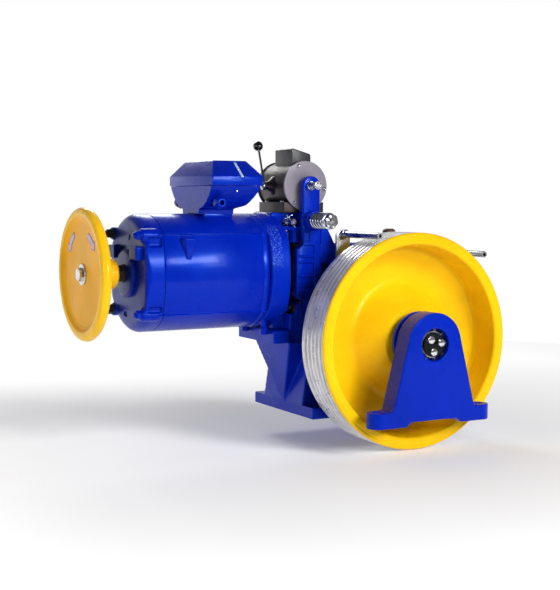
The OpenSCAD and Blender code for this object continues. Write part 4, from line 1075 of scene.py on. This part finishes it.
knob = revolve("release_ball", kn, "Z", (-358, 0), knob_mat, R, 56, angle=50, place=False)
turned(knob, tilt, R, ["release_knob"])
# <<end pieces>>


# ------------------------------------------------------------------ stage, light, camera
def stage_mesh(name, verts, faces, mat):
    me = bpy.data.meshes.new(name)
    me.from_pydata(verts, [], faces)
    me.materials.append(mat)
    o = bpy.data.objects.new(name, me)
    scene.collection.objects.link(o)
    return o


FLOOR_NEAR, FLOOR_FAR = 0.13, 0.44
fm_ = Nodes("pale_floor")
fm_.link(fm_.mix(fm_.range(fm_.noise(1.3, 2.0), 0.0, 1.0), (0.86, 0.86, 0.87, 1), (0.90, 0.90, 0.90, 1)), fm_.b.inputs["Base Color"])
fm_.b.inputs["Roughness"].default_value = 0.9
fm_.b.inputs["Specular IOR Level"].default_value = 0.1
flen = fm_.new("ShaderNodeVectorMath", operation="LENGTH")
fm_.link(fm_.co.outputs["Object"], flen.inputs[0])
fm_.link(fm_.range(flen.outputs["Value"], FLOOR_NEAR, FLOOR_FAR, 0.6, 2.2), fm_.b.inputs["Emission Strength"])
fm_.b.inputs["Emission Color"].default_value = (1.0, 1.0, 1.0, 1)
FZ = -0.0965
ring_pts = [(2.9 * math.cos(2 * math.pi * k / 96), 2.9 * math.sin(2 * math.pi * k / 96), FZ) for k in range(96)]
stage_mesh("floor", ring_pts, [list(range(96))], fm_.m)

world = bpy.data.worlds.new("studio")
scene.world = world
world.use_nodes = True
wt = world.node_tree
bg = wt.nodes["Background"]
wco = wt.nodes.new("ShaderNodeTexCoord")


def wnode(kind, **kw):
    n = wt.nodes.new(kind)
    for k, v in kw.items():
        setattr(n, k, v)
    return n


def wrange(sock, a, b, lo, hi):
    n = wnode("ShaderNodeMapRange", interpolation_type="SMOOTHSTEP")
    for key, v in (("From Min", a), ("From Max", b), ("To Min", lo), ("To Max", hi)):
        n.inputs[key].default_value = v
    wt.links.new(sock, n.inputs["Value"])
    return n.outputs["Result"]


# white behind and to the left of the machine, dim in front and overhead
dot = wnode("ShaderNodeVectorMath", operation="DOT_PRODUCT")
wt.links.new(wco.outputs["Generated"], dot.inputs[0])
dot.inputs[1].default_value = (-0.301, 0.953, 0.0)
back = wrange(dot.outputs["Value"], 0.02, 0.40, 0.20, 1.0)
wsep = wnode("ShaderNodeSeparateXYZ")
wt.links.new(wco.outputs["Generated"], wsep.inputs[0])
low = wrange(wsep.outputs["Z"], 0.14, 0.40, 1.0, 0.22)
wm = wnode("ShaderNodeMath", operation="MULTIPLY")
wt.links.new(back, wm.inputs[0])
wt.links.new(low, wm.inputs[1])
wt.links.new(wm.outputs[0], bg.inputs["Strength"])
bg.inputs["Color"].default_value = (1.0, 1.0, 1.0, 1)


def area(name, loc, target, size, size_y, power, colour=(1, 1, 1)):
    li = bpy.data.lights.new(name, "AREA")
    li.shape = "RECTANGLE"
    li.size, li.size_y = size, size_y
    li.energy = power
    li.color = colour
    o = bpy.data.objects.new(name, li)
    scene.collection.objects.link(o)
    o.location = loc
    o.rotation_euler = (Vector(target) - Vector(loc)).to_track_quat("-Z", "Y").to_euler()
    return o


area("softbox", (0.20, -3.5, 1.22), (-0.78, -0.1, 0.50), 1.7, 0.40, 44)
rim = area("rim_top", (0.0, 2.6, 2.3), (-0.2, -0.28, 0.45), 1.3, 1.0, 30)
rim.visible_camera = False
area("softbox_edge", (0.95, -3.5, 1.20), (-0.60, -0.1, 0.50), 0.9, 0.9, 14)
area("left", (-3.2, -1.2, 0.9), (-0.9, 0, 0.45), 0.8, 0.8, 14)
sun_data = bpy.data.lights.new("sun", "SUN")
sun_data.energy = 1.75
sun_data.angle = 0.35
sun = bpy.data.objects.new("sun", sun_data)
scene.collection.objects.link(sun)
sun.location = (1.0, -3.0, 3.0)
sun.visible_glossy = False
sun.rotation_euler = Vector((-0.30, 0.80, -0.52)).to_track_quat("-Z", "Y").to_euler()

cam_data = bpy.data.cameras.new("camera")
cam = bpy.data.objects.new("camera", cam_data)
scene.collection.objects.link(cam)
scene.camera = cam
cam_data.sensor_width = 36.0
cam_data.lens = 1224.93 * 36.0 / 590.0
cam_data.clip_start, cam_data.clip_end = 0.1, 100
yaw, pitch, roll = math.radians(28.698), math.radians(4.411), math.radians(0.156)
look = Vector((math.sin(yaw) * math.cos(pitch), math.cos(yaw) * math.cos(pitch), -math.sin(pitch)))
q = look.to_track_quat("-Z", "Y")
cam.rotation_mode = "QUATERNION"
cam.rotation_quaternion = q @ Matrix.Rotation(roll, 4, "Z").to_quaternion()
cam.location = (-2.200, -3.472, 0.684)
scene.view_settings.view_transform = "Standard"
